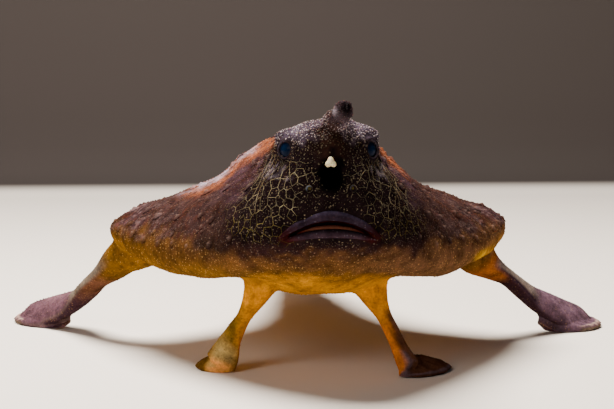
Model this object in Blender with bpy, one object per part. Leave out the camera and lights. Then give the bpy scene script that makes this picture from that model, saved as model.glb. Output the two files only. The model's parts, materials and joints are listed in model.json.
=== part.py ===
"""A sea batfish as a still, life-size museum model, standing on its fins.

Blender 4.5, metres, +Z up. The fish faces -Y and its own left side is +X. The
floor is z = 0 and the origin is the middle of the bounding box's base. Sizes
below are millimetres and become metres where a mesh is made. Station lengths
run along Y from the widest point of the disc, which is y = 0 in them.

The body is one lofted skin, a broad flat disc with a domed skull on it that
narrows into a tail stem, parted by thin plane cuts. Arms, legs and fins grow
from stubs of the same tubes and sheets, so each joint is a flat face.
"""

import math

import bmesh
import bpy
import numpy as np
from mathutils import Vector

MM = 0.001
SEED = 20
JOINT_GAP = 0.3

# Rings of the body from the face to the root of the tail fin. Each row is one
# cross-section: its place along the fish, half its width, the heights of its
# sharp edge, belly and crest, half the width of the dome, the height of the
# dome's foot, and how far it is a dome on a shelf (1) or a plain oval (0).
STATIONS = np.array(
    [
        (-79.6, 0.0, 54.0, 54.0, 54.0, 0.0, 54.0, 0.0),
        (-79.3, 4.8, 52.0, 47.2, 58.0, 3.0, 54.0, 0.0),
        (-78.2, 9.3, 48.6, 41.8, 63.5, 5.4, 55.5, 0.3),
        (-76.0, 13.0, 45.4, 38.4, 68.3, 7.7, 57.0, 0.7),
        (-72.5, 16.8, 42.3, 35.0, 71.2, 9.4, 57.6, 1.0),
        (-67.0, 21.4, 39.0, 31.0, 72.2, 11.3, 57.4, 1.0),
        (-58.0, 28.0, 35.2, 25.8, 70.6, 12.4, 56.6, 1.0),
        (-44.0, 37.2, 33.0, 22.2, 66.6, 14.0, 54.8, 1.0),
        (-25.0, 47.6, 32.8, 20.8, 63.8, 17.4, 52.2, 1.0),
        (-9.0, 55.2, 34.0, 20.7, 62.8, 19.8, 50.2, 1.0),
        (2.0, 57.8, 35.0, 21.0, 62.0, 20.4, 49.2, 1.0),
        (10.0, 53.0, 34.8, 21.2, 60.8, 19.8, 48.0, 1.0),
        (19.0, 39.5, 33.6, 21.2, 58.6, 18.4, 46.2, 0.8),
        (32.0, 26.0, 32.0, 20.6, 54.0, 16.0, 43.0, 0.3),
        (50.0, 19.0, 28.6, 18.2, 45.4, 13.0, 36.0, 0.0),
        (72.0, 14.4, 23.6, 14.6, 36.0, 10.0, 30.0, 0.0),
        (94.0, 10.4, 18.8, 11.0, 28.0, 7.0, 24.0, 0.0),
        (112.0, 6.6, 15.8, 8.8, 23.4, 4.0, 20.0, 0.0),
        (122.0, 2.2, 15.2, 9.6, 21.2, 1.5, 18.0, 0.0),
    ]
)
HALF_RING = 12
NECK_Y = -54.0
TRUNK_Y = 36.0
TAIL_MID_Y = 74.0
TAIL_END_Y = 112.0

# Eyes look out and forward. A lid ring stands a little before each ball's middle.
EYE = (8.9, -68.2, 62.6)
EYE_RADIUS = 3.2
EYE_LOOKS = (0.72, -0.68, 0.10)
LID_AHEAD = 2.1
LID_RING = 2.6
LID_THICK = 0.95
BROW = (7.6, -64.6, 65.0)
BROW_RADII = (5.4, 4.6, 6.2)
BROW_AXIS = (0.5, -0.6, 0.25)

NOSTRIL = (5.4, -78.9, 54.1)
NOSTRIL_LOOKS = (0.35, -1.0, 0.05)
NOSTRIL_RING = 1.25
NOSTRIL_THICK = 0.5
NOSTRIL_PIT = (0.8, 0.8, 2.2)

# The hollow under the rostrum that holds the lure.
CAVITY = (0.0, -79.4, 58.2)
CAVITY_RADII = (2.6, 4.8, 5.4)

# Each lip: height at the middle and at the corners, half its width, thickness.
LIPS = ((47.2, 41.4, 12.4, 1.15), (42.7, 41.2, 11.0, 1.05))
MOUTH = (45.0, 42.8, 8.2)
LIP_POINTS = 13

# Centre lines and half sizes of the rostrum and the lure, root to tip, and the
# share of the length at which each is parted from the head.
ROSTRUM_PATH = [
    (0.4, -68.0, 65.4),
    (1.0, -74.0, 69.0),
    (1.9, -79.4, 71.4),
    (2.5, -83.2, 73.2),
    (2.9, -86.0, 74.6),
]
ROSTRUM_SIZES = [(3.8, 3.4), (3.1, 2.8), (2.5, 2.2), (2.1, 2.2), (0.9, 1.0)]
ROSTRUM_JOINT = 0.50
LURE_PATH = [(0.0, -72.0, 60.6), (0.0, -76.6, 60.6), (0.0, -79.2, 60.2), (0.0, -80.6, 59.6)]
LURE_SIZES = [(0.9, 0.8), (0.8, 0.7), (1.7, 1.4), (1.1, 0.9)]
LURE_JOINT = 0.42

# Centre lines of the limbs, root to end, for the fish's left and right sides:
# the left hand and foot stand a little further forward than the right ones.
ARM_LINES = {
    "left": [
        (47.0, 2.0, 28.6),
        (53.0, 5.0, 24.6),
        (59.2, 8.5, 19.0),
        (65.6, 12.0, 13.7),
        (71.2, 16.0, 9.4),
        (75.6, 19.5, 6.4),
        (80.0, 23.0, 3.4),
    ],
    "right": [
        (-46.6, 2.0, 29.4),
        (-52.4, 5.0, 26.8),
        (-57.8, 9.0, 22.2),
        (-63.4, 16.0, 17.8),
        (-68.9, 25.0, 12.8),
        (-73.4, 34.0, 7.4),
        (-76.6, 39.0, 3.6),
    ],
}
ARM_SIZES = [(8.4, 5.8), (7.8, 5.6), (6.0, 3.9), (4.7, 2.7), (4.2, 2.6), (5.0, 2.8), (6.2, 2.6)]
LEG_LINES = {
    "left": [
        (12.6, -43.0, 27.0),
        (14.6, -44.0, 21.6),
        (16.6, -44.5, 17.2),
        (18.6, -45.5, 12.4),
        (20.3, -46.8, 7.4),
        (22.0, -47.2, 3.4),
    ],
    "right": [
        (-15.4, -43.0, 27.0),
        (-17.6, -43.6, 22.0),
        (-19.8, -42.6, 17.2),
        (-21.8, -40.6, 12.4),
        (-24.0, -38.0, 7.0),
        (-25.8, -37.2, 3.2),
    ],
}
LEG_SIZES = {
    "left": [(7.0, 5.6), (4.4, 3.9), (2.4, 2.0), (2.1, 1.7), (2.3, 1.9), (3.2, 1.7)],
    "right": [(7.0, 5.6), (4.2, 3.6), (2.5, 2.1), (2.8, 1.9), (4.0, 2.2), (4.8, 1.8)],
}
ARM_JOINTS = (0.36, 0.84)
LEG_JOINTS = (0.38, 0.80)
# Each fan's first and last ray, in degrees back from straight out, and their
# reach with the change half way between them.
HAND_SPREAD = {"left": (-80.0, 64.0), "right": (-58.0, 80.0)}
HAND_REACH = {"left": (10.0, 17.0, 1.6), "right": (9.6, 20.5, 0.4)}
FOOT_SPREAD = {"left": (-72.0, 56.0), "right": (-58.0, 64.0)}
FOOT_REACH = {"left": (11.0, 16.0, -3.5), "right": (7.5, 15.0, -2.0)}
HAND_RAYS = 10
HAND_THICK = (3.6, 1.8)
HAND_ROOT = (4.0, 6.6)
FOOT_RAYS = 5
FOOT_THICK = (2.4, 1.1)
FOOT_ROOT = (2.4, 3.2)
FAN_DROP = 1.2

# Upright fins on the middle plane: the root's two ends, then the tips'; the
# count of rays, thickness at root and tip, and the share kept as a root stub.
DORSAL = (((0.0, 58.0, 33.0), (0.0, 66.5, 30.0)), ((0.0, 67.5, 52.0), (0.0, 77.0, 45.0)))
DORSAL_THICK = (2.4, 0.9)
DORSAL_SPLIT = 0.60
ANAL = (((0.0, 80.0, 18.0), (0.0, 86.5, 17.0)), ((0.0, 90.5, 3.2), (0.0, 98.0, 5.6)))
ANAL_THICK = (2.2, 0.8)
ANAL_SPLIT = 0.57
MIDDLE_RAYS = 4
CAUDAL = (((0.0, 111.0, 20.6), (0.0, 111.0, 11.0)), ((0.0, 139.5, 29.5), (0.0, 139.5, 3.4)))
CAUDAL_THICK = (2.0, 0.9)
CAUDAL_RAYS = 9
CAUDAL_START = 0.06
FIN_SWELL = 0.10
THINNEST_HALF = 0.26

GILL_Y = 16.5
GILL_PLACE = 4.7
GILL_RADII = (1.2, 2.6, 2.2)
GILL_AXIS = (1.0, 0.3, 0.2)

# Rows of bucklers on each side: place round the ring, first and last station,
# spacing, and a buckler's radius and height.
BUCKLER_ROWS = (
    (6.45, -70.0, 9.0, 7.6, 1.9, 1.2),
    (5.2, -58.0, 12.0, 10.5, 1.8, 1.1),
    (4.1, -52.0, 14.0, 12.0, 1.9, 1.1),
    (2.7, -54.0, 30.0, 12.0, 2.1, 1.2),
    (0.9, -52.0, 34.0, 13.0, 2.1, 1.3),
    (1.2, 40.0, 110.0, 9.0, 2.1, 1.6),
    (3.6, 42.0, 110.0, 9.0, 2.0, 1.5),
    (6.2, 40.0, 110.0, 9.0, 1.9, 1.4),
)
BUCKLER_CLEAR = 1.2
BUCKLER_SIDES = 6

SKIN = (0.16, 0.09, 0.08)
AMBER = (0.62, 0.36, 0.07)
PLUM = (0.20, 0.12, 0.14)
CREAM = (0.85, 0.82, 0.72)
NAVY = (0.02, 0.03, 0.08)


def clear_scene():
    for obj in list(bpy.data.objects):
        bpy.data.objects.remove(obj)


def hermite_rows(rows, places, mirror_first=False):
    """Rows read at fractional places by a Catmull-Rom curve through them."""
    before = rows[0].copy() if not mirror_first else 2 * rows[0] - rows[1]
    if mirror_first:
        before[0] = rows[1][0]
    after = 2 * rows[-1] - rows[-2]
    padded = np.vstack([before, rows, after])
    places = np.clip(np.asarray(places, float), 0, len(rows) - 1)
    first = np.minimum(places.astype(int), len(rows) - 2)
    u = (places - first)[:, None]
    a, b, c, d = (padded[first + k] for k in range(4))
    return 0.5 * (
        2 * b
        + (c - a) * u
        + (2 * a - 5 * b + 4 * c - d) * u**2
        + (3 * b - a - 3 * c + d) * u**3
    )


def control_rings(v):
    """Outline points of the rings at stations v, crest first, then its left side."""
    y, w, edge, belly, crest, dome, foot, shelf = hermite_rows(
        STATIONS, v, mirror_first=True
    ).T[:, :, None]
    k = np.arange(HALF_RING + 1)[None, :]
    turn = np.where(k <= 7, k / 7 * 0.5, 0.5 + (k - 7) / 5 * 0.5) * math.pi
    rise = np.where(k <= 7, crest - edge, edge - belly)
    oval_x = w * np.sin(turn)
    oval_z = edge + rise * np.cos(turn)

    dome_x = (0.0, 0.55, 0.95, 1.0, 1.0, 1.0)
    dome_drop = (0.0, 0.07, 0.38, 0.86)
    out = (0.0, 0.0, 0.0, 0.12, 0.38, 0.72)
    slope = (0.81, 0.51, 0.21)
    xs = [dome * dome_x[i] + (w - dome) * out[i] for i in range(6)]
    xs += [w * part for part in (0.965, 1.0, 0.95, 0.78, 0.50, 0.22, 0.0)]
    zs = [crest - (crest - foot) * drop for drop in dome_drop]
    zs += [edge + (foot - edge) * part for part in slope] + [edge]
    zs += [edge - (edge - belly) * part for part in (0.36, 0.65, 0.72, 0.98, 1.0)]
    half_x = oval_x + (np.hstack(xs) - oval_x) * shelf
    half_z = oval_z + (np.hstack(zs) - oval_z) * shelf
    x = np.hstack([half_x, -half_x[:, -2:0:-1]])
    z = np.hstack([half_z, half_z[:, -2:0:-1]])
    return np.stack([x, np.broadcast_to(y, x.shape), z], axis=-1)


def ring_weights(t):
    """Catmull-Rom weights of the ring's points at places t round it."""
    count = 2 * HALF_RING
    t = np.asarray(t, float)
    first = np.floor(t).astype(int)
    u = t - first
    weights = np.zeros((len(t), count))
    rows = np.arange(len(t))
    parts = (
        -0.5 * u + u**2 - 0.5 * u**3,
        1 - 2.5 * u**2 + 1.5 * u**3,
        0.5 * u + 2 * u**2 - 1.5 * u**3,
        -0.5 * u**2 + 0.5 * u**3,
    )
    for step, part in enumerate(parts):
        np.add.at(weights, (rows, (first - 1 + step) % count), part)
    return weights


def body_grid(v, t):
    return np.einsum("mk,nkc->nmc", ring_weights(t), control_rings(v))


def body_points(v, t):
    return np.einsum("nk,nkc->nc", ring_weights(t), control_rings(v))


def station_at(y):
    v = np.linspace(0, len(STATIONS) - 1, 3000)
    along = hermite_rows(STATIONS, v, mirror_first=True)[:, 0]
    return float(np.interp(y, along, v))


def unit(vector):
    vector = np.asarray(vector, float)
    return vector / np.linalg.norm(vector, axis=-1, keepdims=True)


def body_normals(v, t):
    step = 0.02
    along = body_points(np.asarray(v) + step, t) - body_points(np.asarray(v) - step, t)
    around = body_points(v, np.asarray(t) + step) - body_points(v, np.asarray(t) - step)
    return unit(np.cross(around, along))


def tube_faces(rings, columns):
    """Faces of a closed tube, its ends fanned to a point after the ring points."""
    faces = []
    for i in range(rings - 1):
        for j in range(columns):
            k = (j + 1) % columns
            faces.append(
                (i * columns + j, i * columns + k, (i + 1) * columns + k, (i + 1) * columns + j)
            )
    start, end = rings * columns, rings * columns + 1
    last = (rings - 1) * columns
    for j in range(columns):
        k = (j + 1) % columns
        faces.append((start, k, j))
        faces.append((end, last + j, last + k))
    return faces


def tube(grid):
    """A closed tube from rings of points, with flat or pointed ends."""
    rings, columns = grid.shape[:2]
    points = np.vstack([grid.reshape(-1, 3), grid[0].mean(axis=0), grid[-1].mean(axis=0)])
    return points, tube_faces(rings, columns)


def body_slice(y_from, y_to, rings, columns):
    """The body between two flat cuts, or from the pole of the face."""
    v_from = 0.12 if y_from is None else station_at(y_from)
    v = np.linspace(v_from, station_at(y_to), rings)
    t = np.arange(columns) * (2 * HALF_RING / columns)
    grid = body_grid(v, t)
    points, faces = tube(grid)
    if y_from is None:
        points[-2] = body_grid([0.0], [0.0])[0, 0]
    return points, faces


def frames(path):
    """Unit directions along a path, and two across it that don't spin."""
    ahead = unit(np.gradient(path, axis=0))
    side = np.cross(ahead, (0.0, 0.0, 1.0))
    flat = np.linalg.norm(side, axis=1) < 0.15
    side[flat] = np.cross(ahead[flat], (0.0, 1.0, 0.0))
    side = unit(side)
    return ahead, side, np.cross(side, ahead)


def limb(path_points, sizes, share, rings, columns):
    """A stretch of an oval tube along a smooth path, share = (from, to)."""
    knots = np.hstack([np.array(path_points, float), np.array(sizes, float)])
    dense = hermite_rows(knots, np.linspace(0, len(knots) - 1, 200))
    place = np.linspace(share[0], share[1], rings)
    rows = np.stack([np.interp(place, np.linspace(0, 1, 200), c) for c in dense.T], axis=1)
    _, side, rise = (
        np.stack([np.interp(place, np.linspace(0, 1, 200), c) for c in f.T], axis=1)
        for f in frames(dense[:, :3])
    )
    turn = np.arange(columns) / columns * 2 * math.pi
    across = np.cos(turn)[None, :, None] * (side * rows[:, 3:4])[:, None]
    upward = np.sin(turn)[None, :, None] * (rise * rows[:, 4:5])[:, None]
    return tube(rows[:, None, :3] + across + upward)


def limb_gap(path_points):
    """Half the joint gap as a share of the path's length."""
    dense = hermite_rows(np.array(path_points, float), np.linspace(0, len(path_points) - 1, 200))
    length = np.linalg.norm(np.diff(dense, axis=0), axis=1).sum()
    return JOINT_GAP / 2 / length


def fin_sheet(root, tip, rays, thick, drop=1.0, share=(0.0, 1.0), rows=5, floor=False):
    """A closed fin: a ruled sheet from root to tip lines, with each ray a ridge.

    Thickness falls from root to tip. Both faces are cut into the same triangles.
    """
    columns = len(root)
    a = np.linspace(0, 1, columns)
    r = np.linspace(share[0], share[1], rows + 1)
    middle = root[:, None] * (1 - r)[None, :, None] + tip[:, None] * r[None, :, None]
    if drop != 1.0:
        fall = (1 - r) ** drop
        middle[:, :, 2] = root[:, None, 2] * fall + tip[:, None, 2] * (1 - fall)
    along = np.gradient(middle, axis=1)
    across = np.gradient(middle, axis=0)
    normal = unit(np.cross(across, along))
    ridge = np.cos(2 * math.pi * rays * a - math.pi) * 0.5 + 0.5
    half = (thick[0] + (thick[1] - thick[0]) * r)[None, :] / 2
    half = half * (0.45 + 0.55 * ridge[:, None])
    half = np.maximum(half, THINNEST_HALF)[:, :, None]
    upper, lower = middle + normal * half, middle - normal * half
    if floor:
        below = np.minimum(np.minimum(upper[:, :, 2], lower[:, :, 2]), 0.0)
        upper[:, :, 2] -= below
        lower[:, :, 2] -= below
    points = np.vstack([upper.reshape(-1, 3), lower.reshape(-1, 3)])
    wide = rows + 1
    other = columns * wide
    faces = []
    for i in range(columns - 1):
        for j in range(rows):
            p, q = i * wide + j, (i + 1) * wide + j
            faces += [(p, q, q + 1), (p, q + 1, p + 1)]
            faces += [(other + q, other + p, other + q + 1)]
            faces += [(other + q + 1, other + p, other + p + 1)]
    rim = [i * wide for i in range(columns)]
    rim += [(columns - 1) * wide + j for j in range(1, wide)]
    rim += [i * wide + rows for i in range(columns - 2, -1, -1)]
    rim += [j for j in range(rows - 1, 0, -1)]
    for m, p in enumerate(rim):
        q = rim[(m + 1) % len(rim)]
        faces += [(q, p, other + p), (q, other + p, other + q)]
    return points, faces


def ball(centre, radii, rings=8, columns=14, axis=None):
    """An ellipsoid, its third radius along axis."""
    turn = np.linspace(0.06, 1 - 0.06, rings) * math.pi
    around = np.arange(columns) / columns * 2 * math.pi
    ahead = unit((0.0, 0.0, 1.0) if axis is None else axis)
    side = unit(np.cross(ahead, (0.31, 0.11, 0.93) if axis is not None else (0.0, 1.0, 0.0)))
    rise = np.cross(ahead, side)
    ring = np.cos(around)[None, :, None] * side * radii[0]
    ring = ring + np.sin(around)[None, :, None] * rise * radii[1]
    grid = np.sin(turn)[:, None, None] * ring
    grid = grid + np.cos(turn)[:, None, None] * ahead * radii[2] + np.array(centre)
    points, faces = tube(grid)
    points[-2] = np.array(centre) + ahead * radii[2]
    points[-1] = np.array(centre) - ahead * radii[2]
    return points, faces


def torus(centre, axis, ring, thick, rings=14, columns=7):
    """A closed ring round an axis."""
    ahead = unit(axis)
    side = unit(np.cross(ahead, (0.0, 0.0, 1.0)))
    rise = np.cross(side, ahead)
    turn = np.arange(rings) / rings * 2 * math.pi
    roll = np.arange(columns) / columns * 2 * math.pi
    outward = np.cos(turn)[:, None] * side + np.sin(turn)[:, None] * rise
    spoke = ring + thick * np.cos(roll)
    grid = outward[:, None] * spoke[None, :, None]
    grid = grid + thick * np.sin(roll)[None, :, None] * ahead + np.array(centre)
    points = grid.reshape(-1, 3)
    faces = []
    for i in range(rings):
        for j in range(columns):
            k, m = (j + 1) % columns, (i + 1) % rings
            faces.append((i * columns + j, i * columns + k, m * columns + k, m * columns + j))
    return points, faces


def cone(foot, normal, radius, height):
    """A low blunt spine with its root sunk below the skin."""
    normal = unit(normal)
    side = unit(np.cross(normal, (0.3, 0.5, 0.8)))
    rise = np.cross(normal, side)
    turn = np.arange(BUCKLER_SIDES) / BUCKLER_SIDES * 2 * math.pi
    ring = np.cos(turn)[:, None] * side + np.sin(turn)[:, None] * rise
    sunk = foot - normal * radius * 0.55
    points = np.vstack([sunk + ring * radius, foot + normal * height, sunk])
    top, bottom = BUCKLER_SIDES, BUCKLER_SIDES + 1
    faces = []
    for j in range(BUCKLER_SIDES):
        k = (j + 1) % BUCKLER_SIDES
        faces += [(j, k, top), (k, j, bottom)]
    return points, faces


def bucklers(y_from, y_to):
    """Blunt bony cones in rows along the body, kept clear of the cuts between nodes."""
    draw = np.random.default_rng(SEED)
    shapes = []
    for place, first, last, step, radius, height in BUCKLER_ROWS:
        for y in np.arange(first, last, step):
            for side in (1, -1):
                shift, turn, size = draw.uniform(-1, 1, 3)
                at = y + 0.22 * step * shift
                scale = 1 + 0.18 * size
                t = (place + 0.18 * turn) * side % (2 * HALF_RING)
                clear = radius * scale + BUCKLER_CLEAR
                if y_from + clear < at < y_to - clear:
                    v = [station_at(at)]
                    foot, normal = body_points(v, [t])[0], body_normals(v, [t])[0]
                    shapes.append(cone(foot, normal, radius * scale, height * scale))
    return shapes


def signed_volume(points, faces):
    total = 0.0
    for face in faces:
        for i in range(1, len(face) - 1):
            a, b, c = points[face[0]], points[face[i]], points[face[i + 1]]
            total += float(np.dot(a, np.cross(b, c)))
    return total


def solid(name, shape):
    """An object from points in millimetres, its faces turned outwards."""
    points, faces = shape
    if signed_volume(points - points.mean(axis=0), faces) < 0:
        faces = [tuple(reversed(face)) for face in faces]
    mesh = bpy.data.meshes.new(name)
    mesh.from_pydata((np.asarray(points) * MM).tolist(), [], faces)
    mesh.update()
    obj = bpy.data.objects.new(name, mesh)
    bpy.context.scene.collection.objects.link(obj)
    return obj


def combine(target, shapes, operation="UNION"):
    """Join closed shapes to an object, or cut them from it, and keep the result."""
    tools = bpy.data.collections.new("tools")
    bpy.context.scene.collection.children.link(tools)
    pieces = [solid("tool", shape) for shape in shapes]
    for piece in pieces:
        bpy.context.scene.collection.objects.unlink(piece)
        tools.objects.link(piece)
    change = target.modifiers.new("combine", "BOOLEAN")
    change.operation = operation
    change.solver = "EXACT"
    change.operand_type = "COLLECTION"
    change.collection = tools
    bpy.context.view_layer.update()
    graph = bpy.context.evaluated_depsgraph_get()
    result = bpy.data.meshes.new_from_object(target.evaluated_get(graph))
    target.modifiers.remove(change)
    target.data = result
    for piece in pieces:
        bpy.data.objects.remove(piece)
    bpy.data.collections.remove(tools)
    keep_largest(target)


def keep_largest(obj):
    """Drop every closed surface but the largest, and merge slivers."""
    work = bmesh.new()
    work.from_mesh(obj.data)
    bmesh.ops.remove_doubles(work, verts=work.verts, dist=0.000001)
    bmesh.ops.dissolve_degenerate(work, dist=0.000001, edges=work.edges)
    left = set(work.verts)
    islands = []
    while left:
        seed = left.pop()
        island, edge = {seed}, [seed]
        while edge:
            vertex = edge.pop()
            for link in vertex.link_edges:
                other = link.other_vert(vertex)
                if other not in island:
                    island.add(other)
                    edge.append(other)
        left -= island
        islands.append(island)
    islands.sort(key=len)
    for island in islands[:-1]:
        bmesh.ops.delete(work, geom=list(island), context="VERTS")
    work.to_mesh(obj.data)
    work.free()


def finish(obj, colour, roughness):
    material = bpy.data.materials.new(obj.name + "_finish")
    material.use_nodes = True
    shader = material.node_tree.nodes["Principled BSDF"]
    shader.inputs["Base Color"].default_value = (*colour, 1.0)
    shader.inputs["Roughness"].default_value = roughness
    obj.data.materials.clear()
    obj.data.materials.append(material)
    obj.data.shade_smooth()
    obj.data.set_sharp_from_angle(angle=math.radians(50))
    return obj


def mirrored(point, side):
    return (point[0] * side, point[1], point[2])


def fan(centre, side, angles, lengths, root, rays, thick):
    """A fan-shaped fin laid from a wrist to the floor, angles from straight out."""
    columns = 2 * rays + 1
    a = np.linspace(0, 1, columns)
    turn = np.radians(angles[0] + (angles[1] - angles[0]) * a)
    scallop = 1 + 0.035 * np.cos(2 * math.pi * rays * a - math.pi)
    reach = (lengths[0] * (1 - a) + lengths[1] * a + lengths[2] * np.sin(math.pi * a)) * scallop
    out = np.stack([side * np.cos(turn), np.sin(turn), np.zeros(columns)], axis=1)
    far = np.array(centre) + out * reach[:, None]
    far[:, 2] = 0.5 * thick[1]
    near = np.array(centre) + out * root[0] * 0.5
    near[:, 2] = root[1]
    return fin_sheet(near, far, rays, thick, drop=FAN_DROP, floor=True)


def hand_fan(hand):
    side = 1 if hand == "left" else -1
    palm = np.mean(ARM_LINES[hand][-2:], axis=0)
    return fan(palm, side, HAND_SPREAD[hand], HAND_REACH[hand], HAND_ROOT, HAND_RAYS, HAND_THICK)


def foot_fan(foot):
    side = 1 if foot == "left" else -1
    sole = np.mean(LEG_LINES[foot][-2:], axis=0)
    return fan(sole, side, FOOT_SPREAD[foot], FOOT_REACH[foot], FOOT_ROOT, FOOT_RAYS, FOOT_THICK)


def upright_fin(lines, rays, thick, share, rows=4):
    """A fin on the middle plane, its tip line bowed outwards."""
    columns = 2 * rays + 1
    a = np.linspace(0, 1, columns)[:, None]
    ends = [np.array(point, float) for line in lines for point in line]
    root = ends[0] + (ends[1] - ends[0]) * a
    tip = ends[2] + (ends[3] - ends[2]) * a
    tip = tip + (tip - root) * FIN_SWELL * np.sin(math.pi * a)
    return fin_sheet(root, tip, rays, thick, share=share, rows=rows)


def half_gap(lines):
    """Half the joint gap as a share of a fin's height."""
    root, tip = (np.mean(line, axis=0) for line in lines)
    return JOINT_GAP / 2 / np.linalg.norm(tip - root)


def build_head():
    head = solid("head", body_slice(None, NECK_Y - JOINT_GAP / 2, 20, 48))
    adds, cuts = [], []
    for side in (1, -1):
        eye = np.array(mirrored(EYE, side))
        looks = unit(mirrored(EYE_LOOKS, side))
        adds.append(ball(mirrored(BROW, side), BROW_RADII, 7, 12, mirrored(BROW_AXIS, side)))
        adds.append(torus(eye + looks * LID_AHEAD, looks, LID_RING, LID_THICK, columns=6))
        cuts.append(ball(eye, (EYE_RADIUS + JOINT_GAP,) * 3, axis=looks))
        nostril, ahead = mirrored(NOSTRIL, side), unit(mirrored(NOSTRIL_LOOKS, side))
        adds.append(torus(nostril, ahead, NOSTRIL_RING, NOSTRIL_THICK, rings=10, columns=6))
        cuts.append(ball(nostril, NOSTRIL_PIT, 5, 8, ahead))
    adds += [lip(*sizes) for sizes in LIPS]
    gap = limb_gap(ROSTRUM_PATH)
    adds.append(limb(ROSTRUM_PATH, ROSTRUM_SIZES, (0.0, ROSTRUM_JOINT - gap), 3, 10))
    adds += bucklers(STATIONS[0, 0], NECK_Y)
    combine(head, adds)
    cuts.append(mouth_opening())
    cuts.append(ball(CAVITY, CAVITY_RADII, 7, 12, (0, -1, 0)))
    combine(head, cuts, operation="DIFFERENCE")
    gap = limb_gap(LURE_PATH)
    combine(head, [limb(LURE_PATH, LURE_SIZES, (0.0, LURE_JOINT - gap), 3, 8)])
    return finish(head, SKIN, 0.55)


def lip_line(middle, corner, reach):
    """A lip's centre line across the face, bowed as a frown."""
    u = np.linspace(-1, 1, LIP_POINTS)
    x = reach * u
    z = middle - (middle - corner) * np.abs(u) ** 1.9
    y = -79.6 + 0.052 * x**2 * np.clip(1.15 - 0.012 * x**2, 0.4, 1.2)
    return np.stack([x, y, z], axis=1)


def lip_roll(path, taper, deep, high):
    """A tube across the face that thins towards the mouth's corners."""
    swell = np.sqrt(np.clip(1 - (np.linspace(-1, 1, LIP_POINTS) * taper) ** 2, 0.02, 1))
    _, side, rise = frames(path)
    turn = np.arange(8) / 8 * 2 * math.pi
    ring = np.cos(turn)[None, :, None] * side[:, None] * deep
    ring = ring + np.sin(turn)[None, :, None] * rise[:, None] * high
    return tube(path[:, None] + ring * swell[:, None, None])


def lip(middle, corner, reach, thick):
    return lip_roll(lip_line(middle, corner, reach), 0.93, 1.5 * thick, 1.1 * thick)


def mouth_opening():
    """A lens-shaped slot between the lips."""
    path = lip_line(*MOUTH)
    path[:, 1] -= 0.6
    return lip_roll(path, 0.98, 3.0, 0.75)


def build_rostrum():
    share = (ROSTRUM_JOINT + limb_gap(ROSTRUM_PATH), 1.0)
    return finish(solid("rostrum", limb(ROSTRUM_PATH, ROSTRUM_SIZES, share, 7, 10)), PLUM, 0.6)


def build_lure():
    share = (LURE_JOINT + limb_gap(LURE_PATH), 1.0)
    return finish(solid("lure", limb(LURE_PATH, LURE_SIZES, share, 5, 8)), CREAM, 0.4)


def build_eye(name, side):
    looks = unit(mirrored(EYE_LOOKS, side))
    shape = ball(mirrored(EYE, side), (EYE_RADIUS,) * 3, axis=looks)
    return finish(solid(name, shape), NAVY, 0.08)


def gill_hole(side):
    """A small slit on the back, behind the root of each arm."""
    v, t = [station_at(GILL_Y)], [GILL_PLACE * side % (2 * HALF_RING)]
    return ball(body_points(v, t)[0], GILL_RADII, 5, 10, mirrored(GILL_AXIS, side))


def build_torso():
    start, end = NECK_Y + JOINT_GAP / 2, TRUNK_Y - JOINT_GAP / 2
    torso = solid("torso", body_slice(start, end, 14, 48))
    adds = []
    for name in ("left", "right"):
        arm_end = ARM_JOINTS[0] - limb_gap(ARM_LINES[name])
        leg_end = LEG_JOINTS[0] - limb_gap(LEG_LINES[name])
        adds.append(limb(ARM_LINES[name], ARM_SIZES, (0.0, arm_end), 6, 14))
        adds.append(limb(LEG_LINES[name], LEG_SIZES[name], (0.0, leg_end), 6, 12))
    adds += bucklers(start, end)
    combine(torso, adds)
    combine(torso, [gill_hole(side) for side in (1, -1)], operation="DIFFERENCE")
    return finish(torso, SKIN, 0.6)


def build_tail_base():
    start, end = TRUNK_Y + JOINT_GAP / 2, TAIL_MID_Y - JOINT_GAP / 2
    tail = solid("tail_base", body_slice(start, end, 8, 24))
    share = (0.0, DORSAL_SPLIT - half_gap(DORSAL))
    stub = upright_fin(DORSAL, MIDDLE_RAYS, DORSAL_THICK, share)
    combine(tail, [stub] + bucklers(start, end))
    return finish(tail, SKIN, 0.6)


def build_tail_tip():
    start, end = TAIL_MID_Y + JOINT_GAP / 2, TAIL_END_Y - JOINT_GAP / 2
    tail = solid("tail_tip", body_slice(start, end, 8, 24))
    share = (0.0, ANAL_SPLIT - half_gap(ANAL))
    stub = upright_fin(ANAL, MIDDLE_RAYS, ANAL_THICK, share)
    combine(tail, [stub] + bucklers(start, end))
    return finish(tail, SKIN, 0.6)


def build_dorsal_fin():
    share = (DORSAL_SPLIT + half_gap(DORSAL), 1.0)
    shape = upright_fin(DORSAL, MIDDLE_RAYS, DORSAL_THICK, share)
    return finish(solid("dorsal_fin", shape), PLUM, 0.6)


def build_anal_fin():
    share = (ANAL_SPLIT + half_gap(ANAL), 1.0)
    shape = upright_fin(ANAL, MIDDLE_RAYS, ANAL_THICK, share)
    return finish(solid("anal_fin", shape), AMBER, 0.6)


def build_caudal_fin():
    stem = body_slice(TAIL_END_Y + JOINT_GAP / 2, STATIONS[-1, 0], 4, 12)
    fin = solid("caudal_fin", stem)
    combine(fin, [upright_fin(CAUDAL, CAUDAL_RAYS, CAUDAL_THICK, (CAUDAL_START, 1.0), rows=5)])
    return finish(fin, PLUM, 0.6)


def build_arm(name):
    gap = limb_gap(ARM_LINES[name])
    share = (ARM_JOINTS[0] + gap, ARM_JOINTS[1] - gap)
    shape = limb(ARM_LINES[name], ARM_SIZES, share, 9, 14)
    return finish(solid("pectoral_arm_" + name, shape), PLUM, 0.6)


def build_hand(name):
    share = (ARM_JOINTS[1] + limb_gap(ARM_LINES[name]), 1.0)
    shape = limb(ARM_LINES[name], ARM_SIZES, share, 4, 14)
    hand = solid("pectoral_fin_" + name, shape)
    combine(hand, [hand_fan(name)])
    return finish(hand, PLUM, 0.6)


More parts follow.
